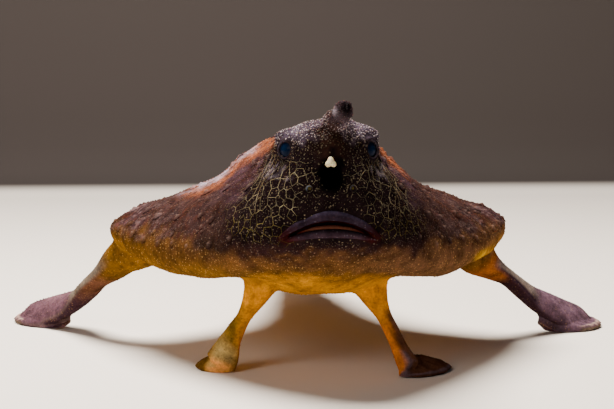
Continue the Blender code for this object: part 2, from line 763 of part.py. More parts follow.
def build_leg(name):
    gap = limb_gap(LEG_LINES[name])
    share = (LEG_JOINTS[0] + gap, LEG_JOINTS[1] - gap)
    shape = limb(LEG_LINES[name], LEG_SIZES[name], share, 7, 12)
    return finish(solid("pelvic_leg_" + name, shape), AMBER, 0.55)


def build_foot(name):
    share = (LEG_JOINTS[1] + limb_gap(LEG_LINES[name]), 1.0)
    shape = limb(LEG_LINES[name], LEG_SIZES[name], share, 4, 12)
    foot = solid("pelvic_fin_" + name, shape)
    combine(foot, [foot_fan(name)])
    return finish(foot, PLUM, 0.55)


def stand_on_origin(objects):
    """Move every mesh so that the whole stands on the origin."""
    low = Vector((math.inf,) * 3)
    high = Vector((-math.inf,) * 3)
    for obj in objects:
        for vertex in obj.data.vertices:
            low = Vector(map(min, low, vertex.co))
            high = Vector(map(max, high, vertex.co))
    middle = (low + high) / 2
    for obj in objects:
        for vertex in obj.data.vertices:
            vertex.co -= Vector((middle.x, middle.y, low.z))
        obj.data.update()


def main():
    clear_scene()
    objects = [
        build_head(),
        build_rostrum(),
        build_lure(),
        build_eye("eye_left", 1),
        build_eye("eye_right", -1),
        build_torso(),
        build_tail_base(),
        build_tail_tip(),
        build_dorsal_fin(),
        build_anal_fin(),
        build_caudal_fin(),
    ]
    for name in ("left", "right"):
        objects += [build_arm(name), build_hand(name), build_leg(name), build_foot(name)]
    stand_on_origin(objects)


main()
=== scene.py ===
# %% [markdown]
# # Sea batfish, a life-size museum model: the looks
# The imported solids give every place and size. This script lays one fine skin over
# them, with its lips, eyes, lure, bony bucklers, spinules and ray fins, paints it
# with node materials, and sets a plain studio round it with the camera where the
# photographer's was. Shapes are worked out in millimetres in the fish's own frame:
# y = 0 at the disc's corners, the fish faces -Y, and +X is its own left side.

import json
import math

import bpy
import numpy as np
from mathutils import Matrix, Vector
from mathutils.bvhtree import BVHTree
from mathutils.geometry import delaunay_2d_cdt

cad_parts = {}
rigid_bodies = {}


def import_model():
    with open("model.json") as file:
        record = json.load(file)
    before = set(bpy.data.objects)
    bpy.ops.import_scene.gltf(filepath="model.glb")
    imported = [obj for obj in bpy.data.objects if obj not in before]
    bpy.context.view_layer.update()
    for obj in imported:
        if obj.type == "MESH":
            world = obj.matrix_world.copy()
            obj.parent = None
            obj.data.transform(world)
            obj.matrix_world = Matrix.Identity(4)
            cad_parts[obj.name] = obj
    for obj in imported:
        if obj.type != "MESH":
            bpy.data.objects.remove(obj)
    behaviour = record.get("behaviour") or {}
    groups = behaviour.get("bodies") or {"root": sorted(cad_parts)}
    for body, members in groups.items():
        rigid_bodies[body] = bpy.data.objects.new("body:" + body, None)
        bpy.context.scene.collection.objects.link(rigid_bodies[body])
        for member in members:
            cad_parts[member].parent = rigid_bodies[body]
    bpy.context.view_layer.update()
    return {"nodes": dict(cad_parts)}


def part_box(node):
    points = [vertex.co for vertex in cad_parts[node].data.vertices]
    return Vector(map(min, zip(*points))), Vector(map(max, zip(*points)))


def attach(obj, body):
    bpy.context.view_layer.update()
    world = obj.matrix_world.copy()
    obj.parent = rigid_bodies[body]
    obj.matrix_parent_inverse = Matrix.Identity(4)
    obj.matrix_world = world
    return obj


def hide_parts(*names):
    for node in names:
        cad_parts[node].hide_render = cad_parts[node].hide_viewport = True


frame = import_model()
nodes = sorted(frame["nodes"])

# %% [markdown]
# ## Sizes
# The same named sizes as the solids', so that the skin lies on them. The torso
# begins at the neck cut and the tail is symmetrical, which gives the step from the
# fish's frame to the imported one.

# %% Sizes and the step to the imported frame
HALF_RING = 12
NECK_Y, CUT_GAP = -54.0, 0.3
# Stations from the face to the tail: y, half width, then the heights of edge, belly and
# crest, the dome's half width, the height of its foot, and the share of shelf to oval.
STATIONS = np.array(
    [
        (-79.6, 0.0, 54.0, 54.0, 54.0, 0.0, 54.0, 0.0),
        (-79.3, 4.8, 52.0, 47.2, 58.0, 3.0, 54.0, 0.0),
        (-78.2, 9.3, 48.6, 41.8, 63.5, 5.4, 55.5, 0.3),
        (-76.0, 13.0, 45.4, 38.4, 68.3, 7.7, 57.0, 0.7),
        (-72.5, 16.8, 42.3, 35.0, 71.2, 9.4, 57.6, 1.0),
        (-67.0, 21.4, 39.0, 31.0, 72.2, 11.3, 57.4, 1.0),
        (-58.0, 28.0, 35.2, 25.8, 70.6, 12.4, 56.6, 1.0),
        (-44.0, 37.2, 33.0, 22.2, 66.6, 14.0, 54.8, 1.0),
        (-25.0, 47.6, 32.8, 20.8, 63.8, 17.4, 52.2, 1.0),
        (-9.0, 55.2, 34.0, 20.7, 62.8, 19.8, 50.2, 1.0),
        (2.0, 57.8, 35.0, 21.0, 62.0, 20.4, 49.2, 1.0),
        (10.0, 53.0, 34.8, 21.2, 60.8, 19.8, 48.0, 1.0),
        (19.0, 39.5, 33.6, 21.2, 58.6, 18.4, 46.2, 0.8),
        (32.0, 26.0, 32.0, 20.6, 54.0, 16.0, 43.0, 0.3),
        (50.0, 19.0, 28.6, 18.2, 45.4, 13.0, 36.0, 0.0),
        (72.0, 14.4, 23.6, 14.6, 36.0, 10.0, 30.0, 0.0),
        (94.0, 10.4, 18.8, 11.0, 28.0, 7.0, 24.0, 0.0),
        (112.0, 6.6, 15.8, 8.8, 23.4, 4.0, 20.0, 0.0),
        (122.0, 2.2, 15.2, 9.6, 21.2, 1.5, 18.0, 0.0),
    ]
)
EYE, EYE_RADIUS = (8.9, -68.2, 62.6), 3.2
EYE_LOOKS = (0.72, -0.68, 0.10)
ARM_LINES = {
    "left": [
        (47.0, 2.0, 28.6), (50.1, 3.4, 25.0), (54.4, 5.3, 21.6), (60.1, 9.0, 18.2),
        (65.3, 12.5, 14.0), (70.6, 15.5, 10.0), (79.0, 18.6, 6.0), (89.0, 23.8, 2.7),
    ],
    "right": [
        (-46.6, 2.0, 29.4), (-53.4, 4.6, 26.7), (-57.8, 8.4, 21.9), (-63.0, 14.8, 17.4),
        (-67.2, 23.6, 12.2), (-71.4, 30.2, 8.4), (-79.0, 36.8, 5.2), (-88.0, 43.4, 2.6),
    ],
}
ARM_SIZES = [
    (8.4, 5.8), (7.6, 5.6), (6.4, 3.5), (4.8, 2.5), (5.0, 2.8), (5.4, 2.9), (5.0, 2.2), (3.5, 1.4)
]
ARM_ROLL = (0, 0, 0, 8, 20, 35, 50, 55)
LEG_LINES = {
    "left": [
        (12.6, -43.0, 27.0), (14.4, -44.0, 21.6), (16.7, -44.6, 16.8), (18.9, -45.4, 12.4),
        (20.7, -46.4, 8.4), (22.4, -47.6, 4.8), (24.2, -48.6, 1.8),
    ],
    "right": [
        (-15.4, -43.0, 27.0), (-17.4, -43.0, 21.6), (-20.2, -42.0, 16.3), (-22.4, -40.6, 12.4),
        (-24.2, -39.2, 8.6), (-25.8, -38.4, 4.6), (-27.2, -38.0, 1.8),
    ],
}
LEG_SIZES = {
    "left": [(7.0, 5.6), (4.4, 3.9), (2.6, 2.15), (2.2, 2.0), (2.0, 2.3), (1.7, 3.0), (1.4, 3.4)],
    "right": [(7.0, 5.6), (4.4, 3.6), (2.6, 2.0), (2.2, 2.4), (1.9, 3.3), (1.6, 4.3), (1.4, 4.4)],
}
# Hands and feet on the floor: centre of the rim, the angles of the front and the back
# ray, and the lengths of those two and of the swelling between them.
RIMS = {
    "arm_left": ((82.0, 27.0), (-118.0, 62.0), (13.0, 12.5, -1.8)),
    "arm_right": ((-80.0, 46.0), (-103.0, 62.0), (13.0, 13.0, -2.6)),
    "leg_left": ((26.5, -41.0), (-125.0, 72.0), (10.3, 15.0, -4.5)),
    "leg_right": ((-26.5, -33.5), (-124.0, 66.0), (6.6, 9.2, -1.6)),
}
# Wrist, the fan's height there, the front ray's share of it, the rim's thickness, rays.
FAN_SHAPE = {
    "arm_left": (ARM_LINES["left"][5], 8.6, 0.6, 1.5, 10),
    "arm_right": (ARM_LINES["right"][5], 7.4, 0.6, 1.5, 10),
    "leg_left": (LEG_LINES["left"][4], 7.0, 0.7, 1.1, 5),
    "leg_right": (LEG_LINES["right"][4], 7.6, 0.6, 1.1, 5),
}
ROSTRUM_PATH = [
    (0.4, -68.0, 65.4),
    (1.0, -74.0, 69.0),
    (1.9, -79.4, 71.4),
    (2.5, -83.2, 73.2),
    (2.9, -86.0, 74.6),
]
ROSTRUM_SIZES = [(3.8, 3.4), (3.1, 2.8), (2.5, 2.2), (2.1, 2.2), (0.9, 1.0)]
DORSAL = (((0.0, 58.0, 33.0), (0.0, 66.5, 30.0)), ((0.0, 67.5, 52.0), (0.0, 77.0, 45.0)))
ANAL = (((0.0, 80.0, 18.0), (0.0, 86.5, 17.0)), ((0.0, 90.5, 3.2), (0.0, 98.0, 5.6)))
CAUDAL = (((0.0, 111.0, 20.6), (0.0, 111.0, 11.0)), ((0.0, 139.5, 29.5), (0.0, 139.5, 3.4)))
NOSTRIL_X, NOSTRIL_Z, NOSTRIL_LOOKS = 5.3, 53.8, (0.38, -1.0, 0.04)
SEEN_FROM = np.array((-34.4, -506.7, 95.0))
SIDES = (("left", 1), ("right", -1))

tail_low, tail_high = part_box("tail_base")
torso_low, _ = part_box("torso")
STEP = np.array(
    [
        (tail_low.x + tail_high.x) * 500,
        torso_low.y * 1000 - (NECK_Y + CUT_GAP / 2),
        0.0,
    ]
)
print("step to the packed frame, mm:", STEP.round(3))

# %% [markdown]
# ## Shape functions
# A Catmull-Rom curve runs through the stations along the body, and another round
# each ring, so the whole body is one smooth surface of two parameters: v counts
# stations from the face, t counts ring points from the crest round the left side.


# %% Body surface
def unit(vector):
    """Vectors divided by their own length."""
    vector = np.asarray(vector, float)
    return vector / np.maximum(np.linalg.norm(vector, axis=-1, keepdims=True), 1e-12)


def ramp(low, high, x):
    """Smooth step: 0 below low, 1 above high, a cubic between."""
    t = np.clip((x - low) / (high - low), 0, 1)
    return t * t * (3 - 2 * t)


def bell(x, middle, width, power=2):
    """e to the minus power of the distance in widths: 1 at the middle, near 0 past width."""
    return np.exp(-(((x - middle) / width) ** power))


def rounded_end(share, start, depth=1.0):
    """1 up to start, then a quarter ellipse that takes depth of the square off by the end."""
    return np.sqrt(1 - depth * ramp(start, 1.0, share) ** 2)


def turns(count):
    """The angles of count even steps round a circle."""
    return np.arange(count) / count * 2 * math.pi


def ridges(share, rays):
    """1 on each ray and 0 half way between, over a fan from share 0 to 1."""
    return 0.5 - 0.5 * np.cos(2 * math.pi * rays * share)


def level_axes(way):
    """Two directions across a way: one level, one upward."""
    side = unit(np.cross(way, (0.0, 0.0, 1.0)))
    return side, np.cross(side, way)


def mirrored(point, side):
    """A place or direction on the left side, or its mirror image where side is -1."""
    return np.array(point) * (side, 1, 1)


def curve_rows(rows, places, mirror_first=False):
    """Rows read at fractional places by a Catmull-Rom curve through them."""
    before = 2 * rows[0] - rows[1]
    if mirror_first:
        before[0] = rows[1][0]
    after = 2 * rows[-1] - rows[-2]
    padded = np.vstack([before, rows, after])
    places = np.clip(np.asarray(places, float), 0, len(rows) - 1)
    first = np.minimum(places.astype(int), len(rows) - 2)
    u = (places - first)[:, None]
    a, b, c, d = (padded[first + k] for k in range(4))
    cubic = (3 * b - a - 3 * c + d) * u**3
    return 0.5 * (2 * b + (c - a) * u + (2 * a - 5 * b + 4 * c - d) * u**2 + cubic)


def control_rings(v):
    """Ring points at stations v: a dome on a shelf (1) blended with an oval (0)."""
    table = curve_rows(STATIONS, v, mirror_first=True)
    y, w, edge, belly, crest, dome, foot, shelf = table.T[:, :, None]
    k = np.arange(HALF_RING + 1)[None, :]
    turn = np.where(k <= 7, k / 7 * 0.5, 0.5 + (k - 7) / 5 * 0.5) * math.pi
    rise = np.where(k <= 7, crest - edge, edge - belly)
    oval_x, oval_z = w * np.sin(turn), edge + rise * np.cos(turn)
    dome_x, out = (0.0, 0.55, 0.95, 1.0, 1.0, 1.0), (0.0, 0.0, 0.0, 0.12, 0.38, 0.72)
    xs = [dome * dome_x[i] + (w - dome) * out[i] for i in range(6)]
    xs += [w * part for part in (0.965, 1.0, 0.95, 0.78, 0.50, 0.22, 0.0)]
    zs = [crest - (crest - foot) * drop for drop in (0.0, 0.07, 0.38, 0.86)]
    zs += [edge + (foot - edge) * part for part in (0.81, 0.51, 0.21)] + [edge]
    zs += [edge - (edge - belly) * part for part in (0.36, 0.65, 0.72, 0.98, 1.0)]
    half_x = oval_x + (np.hstack(xs) - oval_x) * shelf
    half_z = oval_z + (np.hstack(zs) - oval_z) * shelf
    x = np.hstack([half_x, -half_x[:, -2:0:-1]])
    z = np.hstack([half_z, half_z[:, -2:0:-1]])
    return np.stack([x, np.broadcast_to(y, x.shape), z], axis=-1)


def ring_weights(t):
    """Catmull-Rom weights of the ring's points at places t round it."""
    count = 2 * HALF_RING
    first = np.floor(t).astype(int)
    u = t - first
    weights = np.zeros((len(t), count))
    parts = (
        -0.5 * u + u**2 - 0.5 * u**3,
        1 - 2.5 * u**2 + 1.5 * u**3,
        0.5 * u + 2 * u**2 - 1.5 * u**3,
        -0.5 * u**2 + 0.5 * u**3,
    )
    for step, part in enumerate(parts):
        np.add.at(weights, (np.arange(len(t)), (first - 1 + step) % count), part)
    return weights


def body_grid(v, t):
    """The surface at every pair of v and t: a ring's control points weighted by t."""
    return np.einsum("mk,nkc->nmc", ring_weights(t), control_rings(v))


def body_points(v, t):
    """The same surface at single places, one t for each v."""
    return np.einsum("nk,nkc->nc", ring_weights(t), control_rings(v))


STATION_FINE = np.linspace(0, len(STATIONS) - 1, 4000)
STATION_Y = curve_rows(STATIONS, STATION_FINE, mirror_first=True)[:, 0]
print("body from y", STATION_Y[0], "to", STATION_Y[-1])


def station_at(y):
    """The station v at which the body reaches y."""
    return np.interp(y, STATION_Y, STATION_FINE)


def body_normals(v, t):
    """Outward normals: the cross product of small steps round and along the surface."""
    along = body_points(v + 0.02, t) - body_points(v - 0.02, t)
    around = body_points(v, t + 0.02) - body_points(v, t - 0.02)
    return unit(np.cross(around, along))


def ripple(points, wave, seed):
    """Smooth noise of about unit size: sixteen sine waves of one length, each its own way."""
    draw = np.random.default_rng(seed)
    ways = unit(draw.normal(size=(16, 3))) * (2 * math.pi / wave)
    return np.sin(points @ ways.T + draw.uniform(0, 2 * math.pi, 16)).sum(axis=1) / 2.8


# %% [markdown]
# ## Mesh helpers
# Grids become quads in one numpy step. Normals and neighbour averages are worked
# out from the whole array too, for sculpting, smoothing and painting.


# %% Mesh helpers
def grid_quads(index):
    """The four corners of each face of a grid of point numbers."""
    return np.stack([index[:-1, :-1], index[:-1, 1:], index[1:, 1:], index[1:, :-1]], -1).reshape(-1, 4)


def torus_faces(rings, columns):
    """Faces of a grid of points that closes on itself both ways."""
    index = np.arange(rings * columns).reshape(rings, columns)
    return grid_quads(np.pad(index, ((0, 1), (0, 1)), "wrap")).tolist()


def tube_grid(path, side, rise, wide, high, columns):
    """Rings of points round a path, with half sizes wide along side and high along rise."""
    turn = turns(columns)
    level = (np.cos(turn) * wide)[:, :, None] * side[:, None]
    return path[:, None] + level + (np.sin(turn) * high)[:, :, None] * rise[:, None]


def tube_mesh(grid, fold_end=False):
    """A closed tube over rings of points: poles at the ends, or the last ring zipped flat."""
    rings, columns = grid.shape[:2]
    index = np.arange(rings * columns).reshape(rings, columns)
    around = np.hstack([index, index[:, :1]])
    if fold_end:
        j = np.arange(columns + 1) % columns
        around[-1] = index[-1, np.minimum(j, columns - j)]
    faces = grid_quads(around).tolist()
    points = [grid.reshape(-1, 3), grid[0].mean(axis=0)[None]]
    pole = rings * columns
    faces += [(pole, b, a) for a, b in zip(around[0, :-1].tolist(), around[0, 1:].tolist())]
    if not fold_end:
        points.append(grid[-1].mean(axis=0)[None])
        faces += [(pole + 1, a, b) for a, b in zip(around[-1, :-1].tolist(), around[-1, 1:].tolist())]
    return np.vstack(points), faces


def turned_out(points, faces):
    """The faces, all reversed if the closed shape's signed volume is negative."""
    corners = np.array([face[:3] for face in faces])
    a, b, c = (points[corners[:, k]] - points.mean(axis=0) for k in range(3))
    volume = np.einsum("ij,ij->i", a, np.cross(b, c)).sum()
    quads = np.array([face for face in faces if len(face) == 4])
    if len(quads):
        a, b, c = (points[quads[:, k]] - points.mean(axis=0) for k in (0, 2, 3))
        volume += np.einsum("ij,ij->i", a, np.cross(b, c)).sum()
    return faces if volume > 0 else [tuple(reversed(face)) for face in faces]


def to_world(points):
    """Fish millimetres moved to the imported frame, in metres."""
    return (np.asarray(points) + STEP) * 0.001


def new_object(name, data):
    """An object for this data, linked into the scene."""
    obj = bpy.data.objects.new(name, data)
    bpy.context.scene.collection.objects.link(obj)
    return obj


def smooth_object(name, points, faces):
    """A smooth-shaded object at the origin from fish millimetres."""
    mesh = bpy.data.meshes.new(name)
    mesh.from_pydata(to_world(points).tolist(), [], faces)
    mesh.shade_smooth()
    return new_object(name, mesh)


def make_object(name, points, faces):
    """The same for a closed shape, with its faces turned outward."""
    obj = smooth_object(name, points, turned_out(points, faces))
    obj.data.validate()
    return obj


def read_rows(things, field, width, kind=np.float32):
    """One field of a mesh's parts as an array of rows."""
    flat = np.empty(len(things) * width, kind)
    things.foreach_get(field, flat)
    return flat.reshape(-1, width)


def fish_points(obj):
    """Vertex places in fish millimetres."""
    return read_rows(obj.data.vertices, "co", 3).astype(float) * 1000 - STEP


def fish_normals(obj):
    """Vertex normals, one row each."""
    return read_rows(obj.data.vertex_normals, "vector", 3).astype(float)


def set_points(obj, points):
    """Move the vertices to places in fish millimetres."""
    obj.data.vertices.foreach_set("co", to_world(points).astype(np.float32).ravel())
    obj.data.update()


def edge_pairs(obj):
    """The two vertex numbers of each edge."""
    return read_rows(obj.data.edges, "vertices", 2, np.int32)


def neighbour_mean(values, edges):
    """The average of each vertex's neighbours."""
    total = np.zeros_like(values)
    np.add.at(total, edges[:, 0], values[edges[:, 1]])
    np.add.at(total, edges[:, 1], values[edges[:, 0]])
    count = np.bincount(edges.ravel(), minlength=len(values))
    return total / np.maximum(count, 1)[:, None]


# %% [markdown]
# ## Limbs
# A batfish walks on its paired fins. Each limb is an oval tube along a curved line
# that flattens toward its end, and round that end lies a fan of ridged rays with
# its upper and lower faces zipped together at the rim. The union further down makes
# one surface of them. In the animal the rays run under thick skin, so the ridges
# are soft and the rim is rounded and a little curled down.


# %% Limbs
def path_axes(path):
    """Directions across a path at each of its points, level and upward."""
    return level_axes(unit(np.gradient(path, axis=0)))


def dense_path(line, sizes, count):
    """A line and its half sizes, read at count even places by a Catmull-Rom curve."""
    knots = np.hstack([np.array(line, float), np.array(sizes, float)])
    return curve_rows(knots, np.linspace(0, len(knots) - 1, count))


def side_of(name):
    """1 for the fish's own left, which is +X, and -1 for its right."""
    return 1 if "left" in name else -1


def fan_rim(name, a):
    """The rim of a hand or foot on the floor: an arc from its front ray, a = 0, to its back one."""
    (x, y), spread, reach = RIMS[name]
    side = side_of(name)
    angle = np.radians(spread[0] + (spread[1] - spread[0]) * a)
    length = reach[0] * (1 - a) + reach[1] * a + reach[2] * np.sin(math.pi * a)
    return np.stack([x + side * np.cos(angle) * length, y + np.sin(angle) * length], axis=1)


def limb_tube(line, sizes, side, rings, columns, roll=(0, 0)):
    """Rings of a limb down to the blade of its hand or foot, its edge turned to the front.

    roll is the tilt in degrees of each part toward its front.
    """
    steps = 200
    dense = dense_path(line, sizes, steps)
    place = np.linspace(0, steps - 1, rings)
    centre, across, rise = (
        np.stack([np.interp(place, np.arange(steps), column) for column in values.T], 1)
        for values in (dense, *path_axes(dense[:, :3]))
    )
    tilt = np.interp(place, np.linspace(0, steps - 1, len(roll)), roll)
    lean = -side * np.radians(tilt)[:, None]
    cap = rounded_end(place / (steps - 1), 0.92, 0.9)[:, None]
    grid = tube_grid(
        centre[:, :3],
        np.cos(lean) * across + np.sin(lean) * rise,
        np.cos(lean) * rise - np.sin(lean) * across,
        centre[:, 3:4] * cap,
        centre[:, 4:5] * cap,
        columns,
    )
    grid[:, :, 2] = np.maximum(grid[:, :, 2], 0.05)
    return grid


def fan_lift(turn, power):
    """Height round a flat section: +1 above and -1 below, steep at its two edges."""
    return np.sign(np.sin(turn)) * np.abs(np.sin(turn)) ** power


def limb_fan(name, rings, columns):
    """Rings of the fan of rays round a hand or foot, from its wrist to its rim."""
    wrist, root, low_ray, rim, rays = FAN_SHAPE[name]
    turn = turns(columns)
    a = 0.5 - 0.5 * np.cos(turn)
    ray = ridges(a, rays)
    spoke = (fan_rim(name, a) - wrist[:2]) * (1 + 0.03 * (ray - 0.5))[:, None]
    r = np.linspace(0.05, 1.0, rings)[:, None]
    fall = 1.0 + 0.5 * (1 - a) ** 2
    ridge = 0.84 + 0.16 * ray * ramp(0.36, 0.6, r)
    tall = root * (low_ray + (1 - low_ray) * a**0.7)
    upper = tall * (1 - r) ** fall * ridge + rim * (1.0 + 0.25 * ridge)
    lower = 0.04 + np.clip(upper - 2.6 * rim, 0, None) * ramp(0.85, 0.30, r)
    lift = rounded_end(r, 0.90) * fan_lift(turn, 0.45)
    height = (upper + lower) / 2 + (upper - lower) / 2 * lift
    return np.concatenate([wrist[:2] + spoke * r[:, :, None], height[:, :, None]], axis=2)


limbs, fans = {}, {}
for name, side in SIDES:
    limbs["arm_" + name] = limb_tube(ARM_LINES[name], ARM_SIZES, side, 90, 72, ARM_ROLL)
    limbs["leg_" + name] = limb_tube(LEG_LINES[name], LEG_SIZES[name], side, 64, 56)
    fans["arm_" + name] = limb_fan("arm_" + name, 44, 128)
    fans["leg_" + name] = limb_fan("leg_" + name, 32, 80)
print("limbs:", {name: grid.shape for name, grid in limbs.items()})

# %% [markdown]
# ## Sculpting the body
# The bare loft is pushed into the living form: brows swell over the eyes, lids
# close round each eyeball, a bridge runs down from the snout horn, and the hollow
# that houses the lure, the nostrils and the slit of the mouth sink in. Soft noise
# then keeps any stretch from being perfectly smooth, as flesh never is.


# %% Body grid and its sculpting
def swell(points, centre, radii, axis, soft=0.10):
    """Push points out to an ellipsoid round centre, with a smooth edge, as a smooth union does."""
    axis = unit(axis)
    side = unit(np.cross(axis, (0.3, 0.1, 0.95)))
    rise = np.cross(side, axis)
    offset = points - np.array(centre)
    local = np.stack([offset @ side, offset @ rise, offset @ axis], axis=1) / np.array(radii)
    r = np.maximum(np.linalg.norm(local, axis=1), 1e-6)
    grown = 1 + soft * np.logaddexp(0, (r - 1) / soft)
    return np.array(centre) + offset * (grown / r)[:, None]


def lids(points, side):
    """Wrap the skin round an eyeball: open in front of the pupil, a soft roll round that."""
    eye = mirrored(EYE, side)
    looks = unit(mirrored(EYE_LOOKS, side))
    offset = points - eye
    d = np.linalg.norm(offset, axis=1)
    angle = np.degrees(np.arccos(np.clip(offset @ looks / np.maximum(d, 1e-6), -1, 1)))
    roll = 2.4 + 1.42 * ramp(31, 38, angle) + 0.34 * bell(angle, 50, 10)
    weight = ramp(92, 58, angle) * ramp(6.4, 4.4, d)
    return eye + offset * ((weight * roll + (1 - weight) * d) / np.maximum(d, 1e-6))[:, None]


def dent(points, centre, radii, depth, way, edge=0.35):
    """Push points inside an ellipse, seen along way, by depth with a steep soft wall."""
    way = unit(way)
    side, rise = level_axes(way)
    offset = points - np.array(centre)
    r = np.hypot(offset @ side / radii[0], offset @ rise / radii[1])
    near = ramp(9, 6, np.abs(offset @ way))
    return points + way * (depth * ramp(1 + edge, 1 - edge, r) * near)[:, None]


HOLLOW, HOLLOW_RADII = (0.0, -79.4, 57.4), (2.5, 3.5)
GAPE_DROP = 0.6


def bow(share):
    """Drop of a frowning line, 0 in its middle and 1 at its corners."""
    return np.abs(share) ** 1.9


def mouth_height(x):
    """Height of the mouth's line: a frown, highest in the middle."""
    return 45.0 - 3.4 * bow(x / 12.0)


def sculpt(points):
    """Brows, cheeks, lids, bridge, pits, hollow, mouth, skull top, shoulders and belly, in turn."""
    for side in (1, -1):
        points = swell(points, (side * 7.7, -64.8, 65.0), (5.2, 4.8, 6.0), (side * 0.5, -0.6, 0.25))
        points = swell(points, (side * 10.5, -66.5, 50.5), (5.6, 6.0, 6.6), (side * 0.7, -0.7, 0.0), 0.2)
        points = lids(points, side)
    bridge = bell(points[:, 0], 0.7, 2.7) * ramp(56, 66, points[:, 2]) * ramp(-62, -70, points[:, 1])
    points = points + np.array([0.0, -1.7, 0.0]) * bridge[:, None]
    for side in (1, -1):
        way = (-side * 0.3, 1, 0)
        points = dent(points, (side * 5.9, -76.5, 64.5), (3.0, 5.0), 0.7, way, 0.8)
        points = dent(points, (side * NOSTRIL_X, -78.0, NOSTRIL_Z), (0.85, 0.85), 1.6, way, 0.3)
    x, y, z = dent(points, HOLLOW, HOLLOW_RADII, 4.6, (0, 1, -0.06), 0.2).T
    line = mouth_height(x) - GAPE_DROP
    open_half = 1.35 * np.sqrt(np.clip(1 - (x / 10.5) ** 2, 0, 1)) + 0.05
    y = y + 2.6 * bell(z, line, open_half, 4) * ramp(11, 8, np.abs(x)) * ramp(-68, -73, y)
    beside = ramp(1.6, 4.2, np.abs(x - 2.4)) * ramp(65, 71, z) * ramp(-40, -55, y)
    height = z - np.where(x < 2.4, 2.3, 1.4) * beside
    fuller = 2.0 * bell(x, 23, 5.5) - 1.3 * bell(x, -16, 4.5)
    height = height + fuller * ramp(-60, -50, y) * ramp(20, -5, y) * ramp(42, 47, z)
    tuck = bell(np.abs(x), 22, 7.0) * ramp(32, 24, z) * ramp(-75, -60, y) * ramp(40, 15, y)
    return np.stack([x, y, height + 1.7 * tuck], axis=1)


def ring_places(targets):
    """Stations for rings so that their spacing follows targets: (y, spacing in mm)."""
    v = np.linspace(0.02, len(STATIONS) - 1.0, 1500)
    rings = control_rings(v)
    gap = np.linalg.norm(np.diff(rings, axis=0), axis=2).mean(axis=1)
    y = 0.5 * (rings[1:, 0, 1] + rings[:-1, 0, 1])
    wanted = np.interp(y, *np.array(targets).T)
    count = np.concatenate([[0], np.cumsum(gap / wanted)])
    return np.interp(np.linspace(0, count[-1], int(count[-1])), count, v)


v_rings = ring_places([(-80, 0.30), (-70, 0.36), (-60, 0.50), (-45, 0.8), (30, 0.95), (120, 1.1)])
t_columns = np.arange(256) * (2 * HALF_RING / 256)
loft = body_grid(v_rings, t_columns)
shape = loft.shape
loft_points = loft.reshape(-1, 3)
bumps = ripple(loft_points, 13.0, 3) * 0.16 + ripple(loft_points, 6.0, 4) * 0.07
outward = body_normals(np.repeat(v_rings, len(t_columns)), np.tile(t_columns, shape[0]))
sculpted = sculpt(loft_points + outward * bumps[:, None])
skin = make_object("skin", *tube_mesh(sculpted.reshape(shape)))
print("body:", shape, "rings and columns,", len(skin.data.polygons), "faces")

# %% [markdown]
# ## One skin
# The limbs and the snout horn are joined to the body by one Boolean union, and the
# seam round each root is relaxed so that flesh runs on over it without a crease.


# %% Union and relaxed roots
def rostrum_grid(rings=40, columns=40):
    """Rings of the snout horn: ovals along its path, a knob near the tip, warts of noise."""
    dense = dense_path(ROSTRUM_PATH, ROSTRUM_SIZES, 200)
    pick = np.linspace(0, 199, rings).astype(int)
    side, rise = (axis[pick] for axis in path_axes(dense[:, :3]))
    s = np.linspace(0, 1, rings)[:, None]
    knob = 1 + 0.16 * bell(s, 0.80, 0.09) - 0.08 * bell(s, 0.60, 0.10)
    path, sizes = dense[pick, :3], dense[pick, 3:] * knob * rounded_end(s, 0.93, 0.8)
    grid = tube_grid(path, side, rise, sizes[:, :1], sizes[:, 1:], columns)
    warts = ripple(grid.reshape(-1, 3), 2.2, 9).reshape(rings, columns) * 0.10 * ramp(0.3, 0.6, s)
    return path[:, None] + (grid - path[:, None]) * (1 + warts / 2)[:, :, None]


def join(target, shapes):
    """Boolean union of the target with closed shapes, kept as its mesh."""
    tools = bpy.data.collections.new("tools")
    bpy.context.scene.collection.children.link(tools)
    pieces = [make_object("tool", *shape) for shape in shapes]
    for piece in pieces:
        bpy.context.scene.collection.objects.unlink(piece)
        tools.objects.link(piece)
    union = target.modifiers.new("union", "BOOLEAN")
    union.operation, union.solver = "UNION", "MANIFOLD"
    union.operand_type, union.collection = "COLLECTION", tools
    bpy.context.view_layer.update()
    result = bpy.data.meshes.new_from_object(target.evaluated_get(bpy.context.evaluated_depsgraph_get()))
    target.modifiers.remove(union)
    target.data = result
    for piece in pieces:
        bpy.data.objects.remove(piece)
    bpy.data.collections.remove(tools)
    result.shade_smooth()


def relax(obj, spots, rounds):
    """Average vertices with their neighbours near spots: (centre, reach in mm)."""
    points, edges = fish_points(obj), edge_pairs(obj)
    weight = np.zeros(len(points))
    for centre, reach in spots:
        far = np.linalg.norm(points - np.array(centre), axis=1)
        weight = np.maximum(weight, ramp(reach, reach * 0.55, far))
    near = weight > 0
    edges = edges[near[edges].any(axis=1)]
    for _ in range(rounds):
        mean = neighbour_mean(points, edges)
        points[near] += (mean - points)[near] * (0.6 * weight[near])[:, None]
    set_points(obj, points)


tubes = [tube_mesh(grid) for grid in (*limbs.values(), rostrum_grid())]
join(skin, tubes + [tube_mesh(grid, fold_end=True) for grid in fans.values()])
roots = [((52.0, 4.4, 26.0), 11.0), ((-53.5, 5.2, 27.0), 12.0)]
roots += [((14.2, -43.8, 22.6), 8.5), ((-17.2, -43.5, 23.0), 8.5), ((0.8, -73.0, 68.5), 5.5)]
relax(skin, roots, 22)
relax(skin, [(shape[0], 7.0 if "arm" in name else 4.5) for name, shape in FAN_SHAPE.items()], 16)
blades = [(line[-2], 9.0) for line in ARM_LINES.values()]
blades += [(line[-2], 5.5) for line in LEG_LINES.values()]
relax(skin, blades, 12)
print("skin:", len(skin.data.vertices), "points,", len(skin.data.polygons), "faces")

